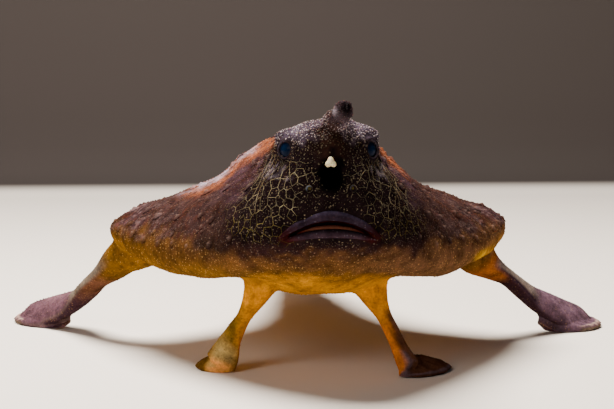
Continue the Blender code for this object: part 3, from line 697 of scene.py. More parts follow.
# %% [markdown]
# ## Markings
# Batfish skin is dark plum-brown above, nearly black on the face under a net of
# cream lines, and amber below, where it is thin and lets light through. The arms
# are grey-mauve with a pale rim to each hand. One function turns any place on the
# skin into its colour and into how much net and how many pale specks it shows, so
# that the skin and the spinules on it always carry the same markings.


# %% Markings
def srgb(code):
    """An sRGB hex colour as linear red, green and blue."""
    parts = [int(code[i : i + 2], 16) / 255 for i in (1, 3, 5)]
    return np.array([c / 12.92 if c <= 0.04045 else ((c + 0.055) / 1.055) ** 2.4 for c in parts])


def plain(code, points):
    """One colour for every point."""
    return np.tile(srgb(code), (len(points), 1))


def layers(colour, *coats):
    """Paint coats over a colour in turn: each a hex code and a weight for each point."""
    for code, weight in coats:
        colour = colour + (srgb(code) - colour) * np.clip(weight, 0, 1)[:, None]
    return colour


def along_limb(points, line, sizes):
    """Place along a limb's line, 0 to 1, and how surely a point is on the limb."""
    steps = 60
    dense = dense_path(line, sizes, steps)
    far = np.linalg.norm(points[:, None] - dense[None, :, :3], axis=2)
    nearest = far.argmin(axis=1)
    beyond = far[np.arange(len(points)), nearest] - dense[nearest, 3]
    return nearest / (steps - 1), ramp(3.2, 0.6, beyond)


def fan_place(points, name):
    """Share of the way across a hand or foot, and from its wrist to its rim."""
    side = side_of(name)
    wrist = np.array(FAN_SHAPE[name][0])
    a = np.linspace(0, 1, 200)
    spoke = fan_rim(name, a) - wrist[:2]
    angles = np.maximum.accumulate(np.arctan2(spoke[:, 1], spoke[:, 0] * side))
    offset = points[:, :2] - wrist[:2]
    angle = np.arctan2(offset[:, 1], offset[:, 0] * side)
    across = np.interp(angle, angles, a)
    length = np.interp(across, a, np.linalg.norm(spoke, axis=1))
    beside = np.clip(angles[0] - angle, 0, None) + np.clip(angle - angles[-1], 0, None)
    return across, np.linalg.norm(offset, axis=1) / length, beside


def seen_angles(points):
    """Bearing and elevation of points from the photographer's place, and their distance."""
    x, y, z = (points - SEEN_FROM).T
    return np.arctan2(x, y), np.arctan2(z, np.hypot(x, y)), np.hypot(x, y)


# The body's upper outline as seen, for the painted rim light: the highest elevation in each bin of bearing.
CREST_BINS, HALF_BIN = 180, 0.0006
crest_bearing, crest_height, _ = seen_angles(sculpted)
crest_edges = np.linspace(-0.05, 0.16, CREST_BINS + 1)
crest_top = np.full(CREST_BINS + 2, -1.0)
np.maximum.at(crest_top, np.digitize(crest_bearing, crest_edges), crest_height)
print("outline seen from", crest_bearing.min().round(3), "to", crest_bearing.max().round(3), "radians")


def below_outline(points):
    """How far, in mm, points are seen to lie below the body's upper outline."""
    bearing, height, far = seen_angles(points)
    return (np.interp(bearing, crest_edges[:-1] + HALF_BIN, crest_top[1:-1]) - height) * far


def eye_gap(points):
    """Distance of points from the centre of the nearer eye."""
    return np.linalg.norm(np.hstack([np.abs(points[:, :1]), points[:, 1:]]) - EYE, axis=1)


def face_reach(points):
    """Distance from the front of the face, seen from above and shortened lengthwise."""
    return np.hypot(points[:, 0], 0.8 * (points[:, 1] + 80))


def blot(x, z, middle_x, middle_z, radius, slim_x=1.0, slim_z=1.0):
    """A soft spot, seen from the front, made slimmer across or in height."""
    return bell(np.hypot((x - middle_x) * slim_x, (z - middle_z) * slim_z), 0, radius)


# %% [markdown]
# The arms and legs are painted along their own lines, and the hands and feet from
# wrist to rim, so that each patch keeps its place on the limb whatever its shape.

# %% Arms and legs
# Root, inner side, upper side and blade of each arm.
ARM_CODES = {
    "left": ("#6E3C10", "#2A181C", "#574850", "#604A58"),
    "right": ("#563A0E", "#4A2E20", "#655A50", "#5E434D"),
}
PALE_SPECK = "#8D776E"


def paint_arm(colour, points, normals, name):
    """Amber web at the root, grey-mauve above, red-brown inside, and a pale rim to the hand."""
    side = side_of(name)
    x, _, z = points.T
    nx, _, nz = normals.T
    s, sure = along_limb(points, ARM_LINES[name], ARM_SIZES)
    across, out, beside = fan_place(points, "arm_" + name)
    hand = ramp(1.3, 1.2, out) * ramp(0.9, 0.6, beside) * ramp(14, 12, z)
    hand = hand * ramp(-2, 2, (x - FAN_SHAPE["arm_" + name][0][0]) * side)
    hand = np.maximum(hand, ramp(70, 73, x * side) * ramp(13, 11, z))
    arm = np.maximum(ramp(0.07, 0.20, s) * sure, hand)
    upper = ramp(-0.55, 0.25, nz + 0.35 * side * nx)
    root, inner, top, flat = ARM_CODES[name]
    colour = layers(
        colour,
        (root, arm),
        (inner, arm * ramp(0.22, 0.36, s)),
        (top, arm * upper * ramp(0.16, 0.30, s)),
    )
    if name == "left":
        # Painted highlight: a grey-beige band along the top of the left arm, where the light falls.
        painted_highlight_band = ramp(0.15, 0.7, nz + 0.45 * nx) * ramp(0.18, 0.32, s) * ramp(0.72, 0.5, s)
        colour = layers(
            colour,
            ("#2A1C28", arm * ramp(0.20, 0.30, s) * ramp(-0.4, 0.3, upper + nx - 0.7)),
            ("#7E726C", arm * painted_highlight_band * 0.85),
            ("#8A4E14", arm * ramp(0.40, 0.27, s) * ramp(0.2, -0.7, nz) * 0.6),
        )
    blade = np.maximum(hand * ramp(0.02, 0.3, out), arm * ramp(0.58, 0.72, s))
    rim = hand * ramp(0.10, 0.2, across) * ramp(0.97, 0.9, across)
    colour = layers(
        colour,
        ("#2C1C22", arm * ramp(0.43, 0.58, s) * ramp(0.0, -0.6, nz)),
        (flat, blade * ramp(-0.5, 0.3, nz)),
        ("#36262F", hand * ramp(0.3, 0.75, out) * (1 - ridges(across, 10)) * 0.4),
        ("#B89C90", rim * ramp(0.90, 0.94, out) * ramp(0.45, 0.8, nz) * 0.8),
        ("#574A3E", rim * ramp(0.93, 0.97, out) * ramp(0.55, 0.2, nz) * 0.9),
    )
    return colour, arm


def paint_leg(colour, points, normals, name):
    """Bright amber at the root; the left leg is dark outside, the right one fades to tan."""
    x, y, z = points.T
    nx, _, nz = normals.T
    s, sure = along_limb(points, LEG_LINES[name], LEG_SIZES[name])
    _, out, beside = fan_place(points, "leg_" + name)
    near = ramp(1.4, 1.25, out) * ramp(1.0, 0.7, beside) * (np.abs(y + 42) < 26)
    foot = near * ramp(8.5, 6.5, z)
    leg = np.maximum(ramp(0.03, 0.15, s) * sure, foot)
    if name == "left":
        coats = (
            ("#8A5006", leg * ramp(0.28, 0.5, s)),
            ("#523426", leg * ramp(0.0, 0.6, nx) * ramp(0.25, 0.42, s)),
            ("#5A5262", foot * ramp(0.1, 0.35, out)),
            ("#4A2E20", leg * ramp(0.45, 0.65, s) * ramp(-0.5, 0.1, nx)),
            ("#B0661C", leg * ramp(-0.15, -0.6, nx) * ramp(0.38, 0.5, s)),
            ("#5A484E", foot * ramp(0.9, 0.97, out) * ramp(0.0, 0.5, nz)),
        )
    else:
        tan = np.maximum(foot * ramp(0.1, 0.3, out), leg * ramp(0.55, 0.8, s))
        low = np.maximum(foot * ramp(0.80, 0.92, out), leg * ramp(0.8, 0.9, s))
        coats = (
            ("#6E5218", leg * ramp(0.20, 0.45, s) * (0.35 + 0.65 * ramp(-0.1, 0.6, -nx))),
            ("#A0602A", leg * ramp(0.4, 0.6, s) * ramp(0.2, 0.8, nx) * 0.8),
            ("#8E7848", tan * ramp(0.9, 0.3, nx)),
            ("#C48440", low * ramp(0.7, 0.2, nz) * ramp(4.8, 1.6, z + 0.25 * (x + 26))),
        )
    return layers(colour, ("#AD7004", leg), *coats), leg


# %% [markdown]
# The body's own colours, with some painted light among them, are laid one over another
# like a model maker's thin coats: each is a colour and a mask made of smooth steps in
# width, length and height, broken up by noise so that no border is a straight line.


# %% Body markings
def markings(points, normals):
    """Base colour, net, specks and the specks' colour, for each point."""
    x, y, z = points.T
    nz = normals[:, 2]
    wide = np.abs(x)
    vary = ripple(points, 16.0, 21) * 0.5 + ripple(points, 7.0, 22) * 0.5
    fine, sprinkle = ripple(points, 3.2, 23), ripple(points, 1.7, 24)
    reach = face_reach(points)
    flank = ramp(22, 29, wide) * ramp(56, 44, wide) * ramp(60, 54, z)
    colour = layers(
        plain("#301D1A", points),
        ("#1E1112", ramp(62, 30, reach) * 0.9),
        ("#543A3C", ramp(40, 57, wide) * ramp(37, 46, z) * (0.5 + 0.35 * vary)),
        ("#42303A", ramp(0.2, 0.8, nz) * (0.3 + 0.25 * vary)),
        # Pale pinkish mottling on the disc's corners: partly the skin's own tone, partly painted highlight.
        ("#80696A", ramp(0.5, 1.3, 0.7 * vary + 0.8 * sprinkle) * ramp(30, 50, wide) * 0.4),
        ("#5E2E22", ramp(0.5, 1.1, fine - 0.4 * vary) * ramp(26, 36, wide) * 0.22),
        ("#23161A", ramp(0.4, 1.1, -sprinkle - 0.3 * vary) * ramp(26, 40, wide) * 0.5),
        ("#251A12", flank * (0.45 + 0.12 * vary)),
    )

    # Painted rim light: orange and pale streaks on the shoulders, just under the outline as it was seen.
    ahead = (unit(SEEN_FROM - points) * normals).sum(axis=1)
    gap = below_outline(points) + 0.5 * vary
    rim_lit_shoulder = ramp(-64, -57, y) * ramp(24, 4, y) * ramp(44, 48, z) * ramp(-0.22, -0.06, ahead)
    seen_left = ramp(9, 13, wide) * ramp(44, 34, wide) * (x < 0)
    seen_right = ramp(14, 16, wide) * ramp(26, 22, wide) * (x > 0)
    streak = seen_left * ramp(4.4, 1.8, gap + 0.4 * sprinkle)
    streak = streak + seen_right * ramp(1.9, 0.7, gap + 0.3 * sprinkle)
    painted_rim_highlight = rim_lit_shoulder * seen_left * ramp(2.2, 0.6, gap + 0.4 * fine) * ramp(13, 19, wide)

    # The dark face with its greyer crown and ledges, the brown bridge and the rims of the eyes.
    face = ramp(37, 24, reach) * ramp(37, 41, z)
    crown = ramp(63.5, 67, z + 0.3 * (wide - 8) + 0.6 * fine) * ramp(-40, -62, y + 5 * vary)
    ledge = np.hypot((wide - 16.2) / 4.2, (z - 57.4) / 1.7) + 0.35 * fine
    ledge = 0.75 * ramp(1.35, 0.2, ledge) * ramp(-50, -60, y)
    bridge = bell(x, 0.4, 4.0) * ramp(59, 63, z) * ramp(-55, -68, y)
    colour = layers(
        colour,
        ("#83482C", rim_lit_shoulder * streak * np.clip(0.8 + 0.3 * vary + 0.4 * sprinkle, 0, 1)),
        ("#8F8A9C", painted_rim_highlight * np.clip(0.62 + 0.5 * vary + 0.35 * fine, 0, 0.9)),
        ("#120B0D", face * 0.96),
        ("#514655", crown * (0.65 + 0.3 * vary)),
        ("#6E6470", ledge * np.clip(0.55 + 0.5 * sprinkle + 0.3 * vary, 0, 0.9)),
        ("#22140F", bridge * 0.95),
        ("#181214", ramp(5.4, 4.2, eye_gap(points)) * ramp(66.4, 64.6, z)),
        ("#0D0709", blot(x, z, 0.4, 63.4, 1.1) * ramp(-70, -76, y)),
    )

    # Amber below, brightest on the belly, with brown and yellow at the disc's corners.
    under = ramp(38.6, 32.6, z + 1.3 * vary + 0.5 * fine)
    under = under * (1 - ramp(18, 42, y) * ramp(-0.6, 0.1, nz + 0.25 * vary))
    belly = ramp(31.5, 26.0, z + 0.9 * vary + 0.4 * fine) * ramp(24, 14, wide) * ramp(-10, -30, y)
    corner = (y < 30) * ramp(36, 33.5, z)
    colour = layers(
        colour,
        ("#4A3018", under),
        ("#5A3E10", under * ramp(34, 27, z + 0.8 * vary) * (0.5 + 0.5 * ramp(10, -30, x))),
        ("#4E3628", under * ramp(0, 25, x) * 0.6),
        ("#4A3014", under * ramp(-18, -50, x) * 0.6),
        ("#966404", belly),
        # Partly painted light: the underside's own amber, painted brighter where it faces down, for light
        # bounced up from the floor.
        ("#8A6018", under * ramp(0.2, -0.7, nz) * ramp(-35, -10, y) * (0.7 + 0.2 * vary)),
        ("#4C320E", blot(x, z, -51, 29, 7.5, 1, 1.2) * (0.8 + 0.25 * vary) * corner),
        ("#50341A", blot(x, z, 48, 27, 6.0, 1, 1.5) * 0.8 * corner),
        ("#C09010", blot(x, z, 46.8, 29.5, 2.3, 1, 1.6) * (y < 20) * 0.8),
    )

    # The snout horn with its dark tip, the lure's hollow with painted shade in it, and the gape.
    tip = bell(np.linalg.norm(points - (3.2, -86.2, 74.2), axis=1), 0, 2.4, 4)
    horn = ramp(-77, -82, y) * ramp(69, 71, z)
    hollow = np.hypot(x / HOLLOW_RADII[0], (z - HOLLOW[2]) / HOLLOW_RADII[1])
    inside = bell(z, mouth_height(x) - GAPE_DROP, 1.9, 4) * ramp(12, 10, wide) * ramp(-66, -72, y)
    mouth_corners = blot(wide, z, 11.4, 40.9, 1.1, 0.7) * ramp(-66, -70, y)
    colour = layers(
        colour,
        ("#2E2429", horn * 0.9),
        # Painted highlight on the horn's side toward the fish's right, where the light falls.
        ("#8E8592", blot(x, z, 0.3, 73.0, 1.0, 1.3) * ramp(-80, -83, y) * 0.5),
        ("#0B0709", tip),
        # Painted shade: the lure's hollow is painted near black where the recess lies in shadow.
        ("#040303", ramp(1.75, 1.0, hollow + 0.12 * fine) * ramp(-70, -74, y)),
        ("#2C0807", inside),
        ("#240A0A", mouth_corners),
    )

    net = ramp(35, 28, reach + 1.5 * vary) * ramp(62, 58, z + 0.5 * vary) * ramp(38.5, 41.5, z + vary)
    over_lip = ramp(9.5, 7.5, wide) * ramp(52.5, 51.0, z)
    nose = ramp(3.3, 2.7, wide) + ramp(57, 59, z) * ramp(6.5, 5.0, wide)
    net = net * (1 - np.clip(over_lip + nose, 0, 1)) * np.where(x > 0, 0.72, 1.0)
    speck = 0.30 + 0.40 * np.maximum(crown, ledge) + 0.18 * face + 0.15 * ramp(46, 30, z)
    speck = speck * (1 - 0.9 * np.maximum(horn, tip)) * (1 - 0.6 * bridge) * (1 - belly)
    speck = speck * np.where(y < -70, ramp(1.0, 1.35, hollow), 1.0)
    for name, _ in SIDES:
        colour, arm = paint_arm(colour, points, normals, name)
        colour, leg = paint_leg(colour, points, normals, name)
        speck = speck * (1 - 0.5 * arm) * (1 - leg)
    skin_left = 1 - np.maximum(inside, mouth_corners)
    pale = layers(
        plain(PALE_SPECK, points),
        ("#978A72", face),
        # Near white on the crown and brow ledges: the granules' own pale colour together with painted glints.
        ("#D6C8CE", np.maximum(crown, 0.8 * ledge)),
        ("#D2A560", under),
    )
    return colour, net * skin_left, np.clip(speck, 0, 1) * skin_left, pale


# %% [markdown]
# The colours are kept in the mesh itself, as attributes that the materials read.


# %% Stored markings
def give_markings(obj, colour, speck=0.0, pale=srgb(PALE_SPECK)):
    """Store the markings: two colour attributes and the mask of the specks."""
    count = len(obj.data.vertices)
    for name, values in (("paint", colour), ("pale", pale)):
        full = np.hstack([np.broadcast_to(values, (count, 3)), np.ones((count, 1))]).astype(np.float32)
        obj.data.color_attributes.new(name, "FLOAT_COLOR", "POINT").data.foreach_set("color", full.ravel())
    layer = obj.data.attributes.new("speck", "FLOAT", "POINT")
    layer.data.foreach_set("value", np.broadcast_to(speck, count).astype(np.float32))


skin_points, skin_normals = fish_points(skin), fish_normals(skin)
skin_paint, skin_net, skin_speck, skin_pale = markings(skin_points, skin_normals)
give_markings(skin, skin_paint, skin_speck, skin_pale)
print("markings: net on", int((skin_net > 0.5).sum()), "points")

# %% [markdown]
# ## Finishes
# Under water fish skin has next to no gloss, and the photo was taken there, so the
# skin is plain pigment that lets a little light through. The painted colour is
# mottled by noise at two sizes, about 4 mm and under 1 mm, and pale granules about
# 0.9 mm apart stand a tenth of a millimetre proud where the mask asks for them.
# Painting by attributes was chosen over one procedural pattern, because the fish's
# colours follow its shape.


# %% Materials
def node(tree, kind, inputs=None, **settings):
    """Add a node, set its fields, then set or link its inputs."""
    made = tree.nodes.new(kind)
    for field, value in settings.items():
        setattr(made, field, value)
    for key, value in (inputs or {}).items():
        socket = made.inputs[key]
        if isinstance(value, bpy.types.NodeSocket):
            tree.links.new(value, socket)
        else:
            socket.default_value = value
    return made


def new_material(name, settings):
    """A material whose Principled shader has these constants."""
    material = bpy.data.materials.new(name)
    material.use_nodes = True
    shader = material.node_tree.nodes["Principled BSDF"]
    for key, value in settings.items():
        shader.inputs[key].default_value = value
    return material, material.node_tree, shader


def painted_material(name, settings):
    """A finish in the painted colour alone."""
    material, tree, shader = new_material(name, settings)
    paint = node(tree, "ShaderNodeAttribute", attribute_name="paint").outputs["Color"]
    tree.links.new(paint, shader.inputs["Base Color"])
    return material


# Sizes in millimetres: blotches about 3.8 wide, grain about 0.67, granules about 0.87
# apart, and the height of the relief.
BLOTCH, GRAIN, GRANULE, RELIEF = 50 / 13, 2 / 3, 20 / 23, 0.14


def skin_material(name, settings):
    """Pigmented skin: painted colour, mottling, pale specks and their relief."""
    material, tree, shader = new_material(name, settings)
    place = node(tree, "ShaderNodeTexCoord").outputs["Object"]
    paint = node(tree, "ShaderNodeAttribute", attribute_name="paint").outputs["Color"]
    pale = node(tree, "ShaderNodeAttribute", attribute_name="pale").outputs["Color"]
    speck = node(tree, "ShaderNodeAttribute", attribute_name="speck").outputs["Fac"]

    blotch_noise = {"Vector": place, "Scale": 1000 / BLOTCH, "Detail": 4.0, "Roughness": 0.6}
    grain_noise = {"Vector": place, "Scale": 1000 / GRAIN, "Detail": 3.0}
    blotch, grain = (
        node(tree, "ShaderNodeTexNoise", noise).outputs["Fac"] for noise in (blotch_noise, grain_noise)
    )
    # The middle of each noise spread over a range: two of brightness and one of roughness.
    ranges = ((blotch, 0.55, 1.5), (grain, 0.75, 1.25), (grain, 0.38, 0.58))
    light, fine, rough = (
        node(
            tree,
            "ShaderNodeMapRange",
            {"Value": noise, "From Min": 0.3, "From Max": 0.7, "To Min": low, "To Max": high},
        ).outputs[0]
        for noise, low, high in ranges
    )
    both = node(tree, "ShaderNodeMath", {0: light, 1: fine}, operation="MULTIPLY").outputs[0]
    mottled = node(tree, "ShaderNodeVectorMath", {0: paint, "Scale": both}, operation="SCALE").outputs[0]

    dots = node(tree, "ShaderNodeTexVoronoi", {"Vector": place, "Scale": 1000 / GRANULE, "Randomness": 1.0})
    dot = node(
        tree,
        "ShaderNodeMapRange",
        {"Value": dots.outputs["Distance"], "From Min": 0.16, "From Max": 0.30, "To Min": 1.0, "To Max": 0.0},
        interpolation_type="SMOOTHSTEP",
    ).outputs[0]
    kept = node(tree, "ShaderNodeSeparateColor", {"Color": dots.outputs["Color"]}).outputs["Red"]
    some = node(tree, "ShaderNodeMath", {0: kept, 1: 0.55}, operation="GREATER_THAN").outputs[0]
    for mask in (some, speck):
        dot = node(tree, "ShaderNodeMath", {0: dot, 1: mask}, operation="MULTIPLY").outputs[0]

    weight = node(tree, "ShaderNodeMath", {0: dot, 1: 0.7}, operation="MULTIPLY").outputs[0]
    with_dots = node(tree, "ShaderNodeMix", {"Factor": weight, 6: mottled, 7: pale}, data_type="RGBA")
    relief = node(tree, "ShaderNodeMath", {0: grain, 1: 0.5, 2: dot}, operation="MULTIPLY_ADD").outputs[0]
    bump = node(tree, "ShaderNodeBump", {"Height": relief, "Strength": 0.8, "Distance": RELIEF / 1000})
    made = {"Base Color": with_dots.outputs[2], "Roughness": rough, "Normal": bump.outputs["Normal"]}
    for key, value in made.items():
        tree.links.new(value, shader.inputs[key])
    return material


SKIN_BASE = {
    "IOR": 1.40,
    "Subsurface Weight": 0.10,
    "Subsurface Radius": (1.0, 0.4, 0.15),
    "Subsurface Scale": 0.002,
    "Specular IOR Level": 0.0,
}
# Matt and a little translucent: the eye reads pigment and relief, not shine.
fish_skin = skin_material("moist_pigmented_fish_skin", SKIN_BASE)


def finish_piece(obj, material, replaced=()):
    """Give a piece its material and slot, seat it on the model, hide the nodes it stands for."""
    obj.data.materials.clear()
    obj.data.materials.append(material)
    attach(obj, "root")
    if replaced:
        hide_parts(*replaced)
    return obj


own_pieces = ("eye_left", "eye_right", "lure", "dorsal_fin", "anal_fin", "caudal_fin")
finish_piece(skin, fish_skin, [n for n in nodes if n not in own_pieces])
skin_tree = BVHTree.FromPolygons(skin_points.tolist(), [tuple(p.vertices) for p in skin.data.polygons])
print("skin stands for", len(nodes) - len(own_pieces), "nodes of", len(nodes))

# %% [markdown]
# ## Lips and mouth
# The mouth is a small frown under the snout: a broad plum upper lip, a narrower
# lower one, and between them the dark red gape with an ochre inner fold. Each is a
# roll along a bowed line, thick in the middle and thin at the corners, with fine
# creases across it where the lip gathers.


# %% Lips
def face_y(x):
    """How far forward the face is under the lips."""
    return -79.6 + 0.052 * x**2 * np.clip(1.15 - 0.012 * x**2, 0.4, 1.2)


def lip_piece(name, middle, drop, half_width, deep, high, back, codes, columns=120, around=28):
    """A lip roll: middle height, drop to its corners, half sizes, and how far it is set back."""
    u = np.linspace(-1, 1, columns)
    x = half_width * u
    path = np.stack([x, face_y(x) + back, middle - drop * bow(u)], axis=1)
    taper = (np.sqrt(np.clip(1 - (u * 0.985) ** 2, 0, 1)) * 0.85 + 0.15 * (1 - u**2))[:, None]
    crease = np.cos(x * 5.2 + 0.8 * np.sin(x * 1.7))[:, None] * np.cos(turns(around)) ** 2
    wide = taper * deep * (1 + 0.035 * crease)
    obj = make_object(name, *tube_mesh(tube_grid(path, *path_axes(path), wide, taper * high, around)))
    points = fish_points(obj)
    share = points[:, 0] / half_width
    local = (points[:, 2] - (middle - drop * bow(share))) / high
    colour = layers(
        plain(codes[0], points),
        (codes[1], ramp(-0.1, 0.8, local)),
        (codes[2], ramp(0.55, 0.95, np.abs(share))),
    )
    give_markings(obj, colour, 0.45, srgb("#5E5560"))
    return finish_piece(obj, fish_skin)


# The upper lip's top colour is a painted highlight, lighter purple where light from above falls on it.
lip_piece("upper_lip", 47.2, 5.8, 12.6, 1.45, 1.3, 0.25, ("#1F1720", "#322A3A", "#1E0A0D"))
lip_piece("lower_lip", 42.7, 2.0, 11.4, 1.3, 1.1, 0.3, ("#281D25", "#1C151B", "#220B0D"))
lip_piece("inner_fold", 44.25, 1.7, 8.2, 0.9, 0.5, 0.7, ("#4A2A20", "#563022", "#3A120C"), around=16)
print("lips made")

# %% [markdown]
# ## Eyes
# Each eye is a dark ball with a slightly domed cornea: a navy pupil that nearly
# fills the opening, a narrow iris with fine rays round it, and a wet gloss over
# all. A thin pale-flecked lid edge lies round the opening.


# %% Eyes
def spokes(looks, columns):
    """Directions round an axis, square to it."""
    side, rise = level_axes(looks)
    turn = turns(columns)[:, None]
    return np.cos(turn) * side + np.sin(turn) * rise


def round_axis(centre, looks, radii, angles, columns):
    """Rings round an axis: radius and angle from the axis for each ring."""
    radii, angles = np.broadcast_arrays(np.asarray(radii, float), np.asarray(angles, float))
    radii, angles = radii.reshape(len(angles), -1, 1), angles.reshape(len(angles), -1, 1)
    return centre + radii * (np.cos(angles) * looks + np.sin(angles) * spokes(looks, columns))


# A weak, clear reflection over a navy pupil: the eye looks wet but stays dark.
eye_settings = {"Roughness": 0.3, "IOR": 1.34, "Specular IOR Level": 0.03}
eye_finish = painted_material("wet_eye", {**eye_settings, "Coat Weight": 0.02, "Coat Roughness": 0.05})
for name, side in SIDES:
    centre, looks = mirrored(EYE, side), unit(mirrored(EYE_LOOKS, side))
    angles = np.linspace(0.01, math.pi - 0.01, 72)
    radii = EYE_RADIUS * (1 + 0.035 * bell(angles, 0, 0.45))
    eye = make_object("eye_ball_" + name, *tube_mesh(round_axis(centre, looks, radii, angles, 96)))
    offset = fish_points(eye) - centre
    angle = np.degrees(np.arccos(np.clip(unit(offset) @ looks, -1, 1)))
    across, rise = level_axes(looks)
    way = np.arctan2(offset @ rise, offset @ across)
    streak = 0.5 + 0.5 * np.cos(way * 34 + 1.3 * np.sin(way * 9)) * np.cos(way * 5 + 1)
    colour = layers(
        plain("#030D22", angle),
        ("#05182F", ramp(24, 6, angle) * 0.6),
        ("#141C2C", ramp(27, 30, angle) * (0.4 + 0.5 * streak)),
        ("#06070C", ramp(33, 36, angle)),
    )
    give_markings(eye, colour)
    finish_piece(eye, eye_finish, ["eye_" + name])

    turn, column = turns(16)[:, None], turns(112)
    tube = 0.26 * (1 + 0.12 * np.sin(9 * column + 1) + 0.08 * np.sin(23 * column))
    ring_angle = math.radians(37.5) + tube * np.cos(turn) / 3.7
    grid = round_axis(centre, looks, 3.62 + tube * np.sin(turn), ring_angle, 112)
    lid = make_object("lid_edge_" + name, grid.transpose(1, 0, 2).reshape(-1, 3), torus_faces(112, 16))
    outer = (fish_points(lid)[:, 0] - centre[0]) * side
    give_markings(lid, layers(plain("#1C1518", outer), ("#4C4450", ramp(1.2, 2.8, outer) * 0.35)), 0.1)
    finish_piece(lid, fish_skin)
print("eyes made")

# %% [markdown]
# Each nostril is a short raised ring with an olive flap inside, on the front of the
# snout beside the lure's hollow. Its rim carries a painted highlight in pale blue-grey on
# the upper side toward the fish's right, stronger on the right nostril.

# %% Nostrils
for name, side in SIDES:
    looks = unit(mirrored(NOSTRIL_LOOKS, side))
    centre = np.array((side * NOSTRIL_X, -78.15, NOSTRIL_Z))
    turn, column = turns(14), turns(56)
    tube = 0.24 * (1 + 0.25 * np.sin(column + 2.2))[:, None]
    grid = centre + spokes(looks, 56)[:, None] * (0.74 + tube * np.cos(turn))[:, :, None]
    grid = grid + looks * (0.15 + tube * 1.7 * np.sin(turn))[:, :, None]
    rim = make_object("nostril_rim_" + name, grid.reshape(-1, 3), torus_faces(56, 14))
    offset = fish_points(rim) - centre
    # Painted highlight: pale blue-grey on the rim's upper side toward the fish's right.
    painted_highlight = ramp(-0.2, 0.9, offset[:, 2] - offset[:, 0] * 0.8)
    give_markings(rim, layers(plain("#231A1C", offset), ("#67707E", painted_highlight * (0.8 if side < 0 else 0.3))), 0.1)
    finish_piece(rim, fish_skin)
    plug = round_axis(centre - looks * 0.3, looks, 0.55, np.linspace(0.02, math.pi - 0.02, 18), 24)
    flap = make_object("nostril_flap_" + name, *tube_mesh(plug))
    give_markings(flap, srgb("#564C28"), 0.2)
    finish_piece(flap, fish_skin)
    print("nostril", name, "at", centre)

# %% [markdown]
# The lure is a soft cream bud that hangs at the top of its hollow: three lobes, one
# up and two down with a cleft between them, on a short stalk.

# %% Lure
theta, psi = np.meshgrid(turns(72), np.linspace(0.02, math.pi - 0.02, 48))
lobes = (1.25 + 0.24 * np.cos(3 * theta) - 0.22 * bell(theta, math.pi, 0.34)) * np.sin(psi)
cleft = 0.28 * bell(theta, math.pi, 0.5)
lure_grid = np.stack(
    [
        -0.25 + lobes * np.sin(theta),
        -80.25 - (1.15 - cleft) * np.cos(psi) + 0.25 * np.sin(psi) * np.cos(theta),
        60.35 + lobes * np.cos(theta),
    ],
    axis=-1,
)
lure = make_object("lure_bud", *tube_mesh(lure_grid))
lure_height = fish_points(lure)[:, 2]
# Painted shade: the bud's lower half, with its cleft, is painted a darker cream.
give_markings(lure, layers(plain("#C2B996", lure_height), ("#9C8C66", ramp(60.4, 58.9, lure_height))))
# Soft flesh that lets much light in: the bud glows cream in its dark hollow.
lure_settings = {"Roughness": 0.42, "IOR": 1.40, "Subsurface Weight": 0.25, "Subsurface Scale": 0.001}
lure_finish = painted_material("soft_cream_lure", {**lure_settings, "Coat Weight": 0.2})
finish_piece(lure, lure_finish, ["lure"])
stalk_line = [(0.1, -74.0, 62.2), (0.0, -77.0, 61.4), (-0.2, -79.6, 60.7)]
stalk_path = dense_path(stalk_line, [(0.5, 0.5)] * 3, 24)
stalk_axes = path_axes(stalk_path[:, :3])
stalk_grid = tube_grid(stalk_path[:, :3], *stalk_axes, stalk_path[:, 3:4], stalk_path[:, 4:], 16)
stalk = make_object("lure_stalk", *tube_mesh(stalk_grid))
give_markings(stalk, srgb("#4E3E38"))
finish_piece(stalk, fish_skin)
print("lure made")

# %% [markdown]
# ## Upright fins
# The small back fin, the fin under the tail and the tail fin are thin webs over
# branched rays. Each is one closed sheet from inside its root to its tip: every ray
# is a ridge, cut by joints about 1.2 mm apart, and the web between dips and thins.


# %% Upright fins
def upright_fin(name, lines, rays, thick, node_name, codes, columns=224, rows=56):
    """A fin between its root line and its tip line, thick at root and tip as given."""
    turn = turns(columns)
    a = 0.5 - 0.5 * np.cos(turn)
    ends = [np.array(point, float) for line in lines for point in line]
    root = ends[0] + (ends[1] - ends[0]) * a[:, None]
    tip = ends[2] + (ends[3] - ends[2]) * a[:, None]
    ray = ridges(a, rays)
    tip = tip + (tip - root) * (0.10 * np.sin(math.pi * a) + 0.03 * (ray - 0.5))[:, None]
    r = np.linspace(-0.06, 1.0, rows)[:, None]
    grid = root * (1 - r)[:, :, None] + tip * r[:, :, None]
    height = np.linalg.norm(tip - root, axis=1)
    joints = 1 + 0.10 * np.cos(2 * math.pi * r * height / 1.2) * ray
    split = 1 - 0.45 * ramp(0.55, 0.8, r) * bell(ray, 1, 0.22)
    inner = np.clip(r, 0, 1)
    body = (thick[0] + (thick[1] - thick[0]) * inner) * (0.36 + 0.64 * ray**1.4 * joints * split)
    body = body * rounded_end(r, 0.94)
    wave = 0.7 * inner**2 * np.sin(2.2 * math.pi * a + 0.6)
    grid[:, :, 0] = 0.5 * body * fan_lift(turn, 0.4) + wave
    fin = make_object(name, *tube_mesh(grid, fold_end=True))
    web_seen = np.append(np.tile(1 - ray, rows), 0.5)
    out = np.append(np.repeat(r[:, 0], columns), 0.0)
    colour = layers(
        plain(codes[0], out),
        (codes[1], web_seen * ramp(0.05, 0.4, out) * 0.8),
        (codes[2], ramp(0.93, 0.99, out) * 0.8),
    )
    give_markings(fin, colour, 0.25)
    return finish_piece(fin, fin_finish, [node_name])


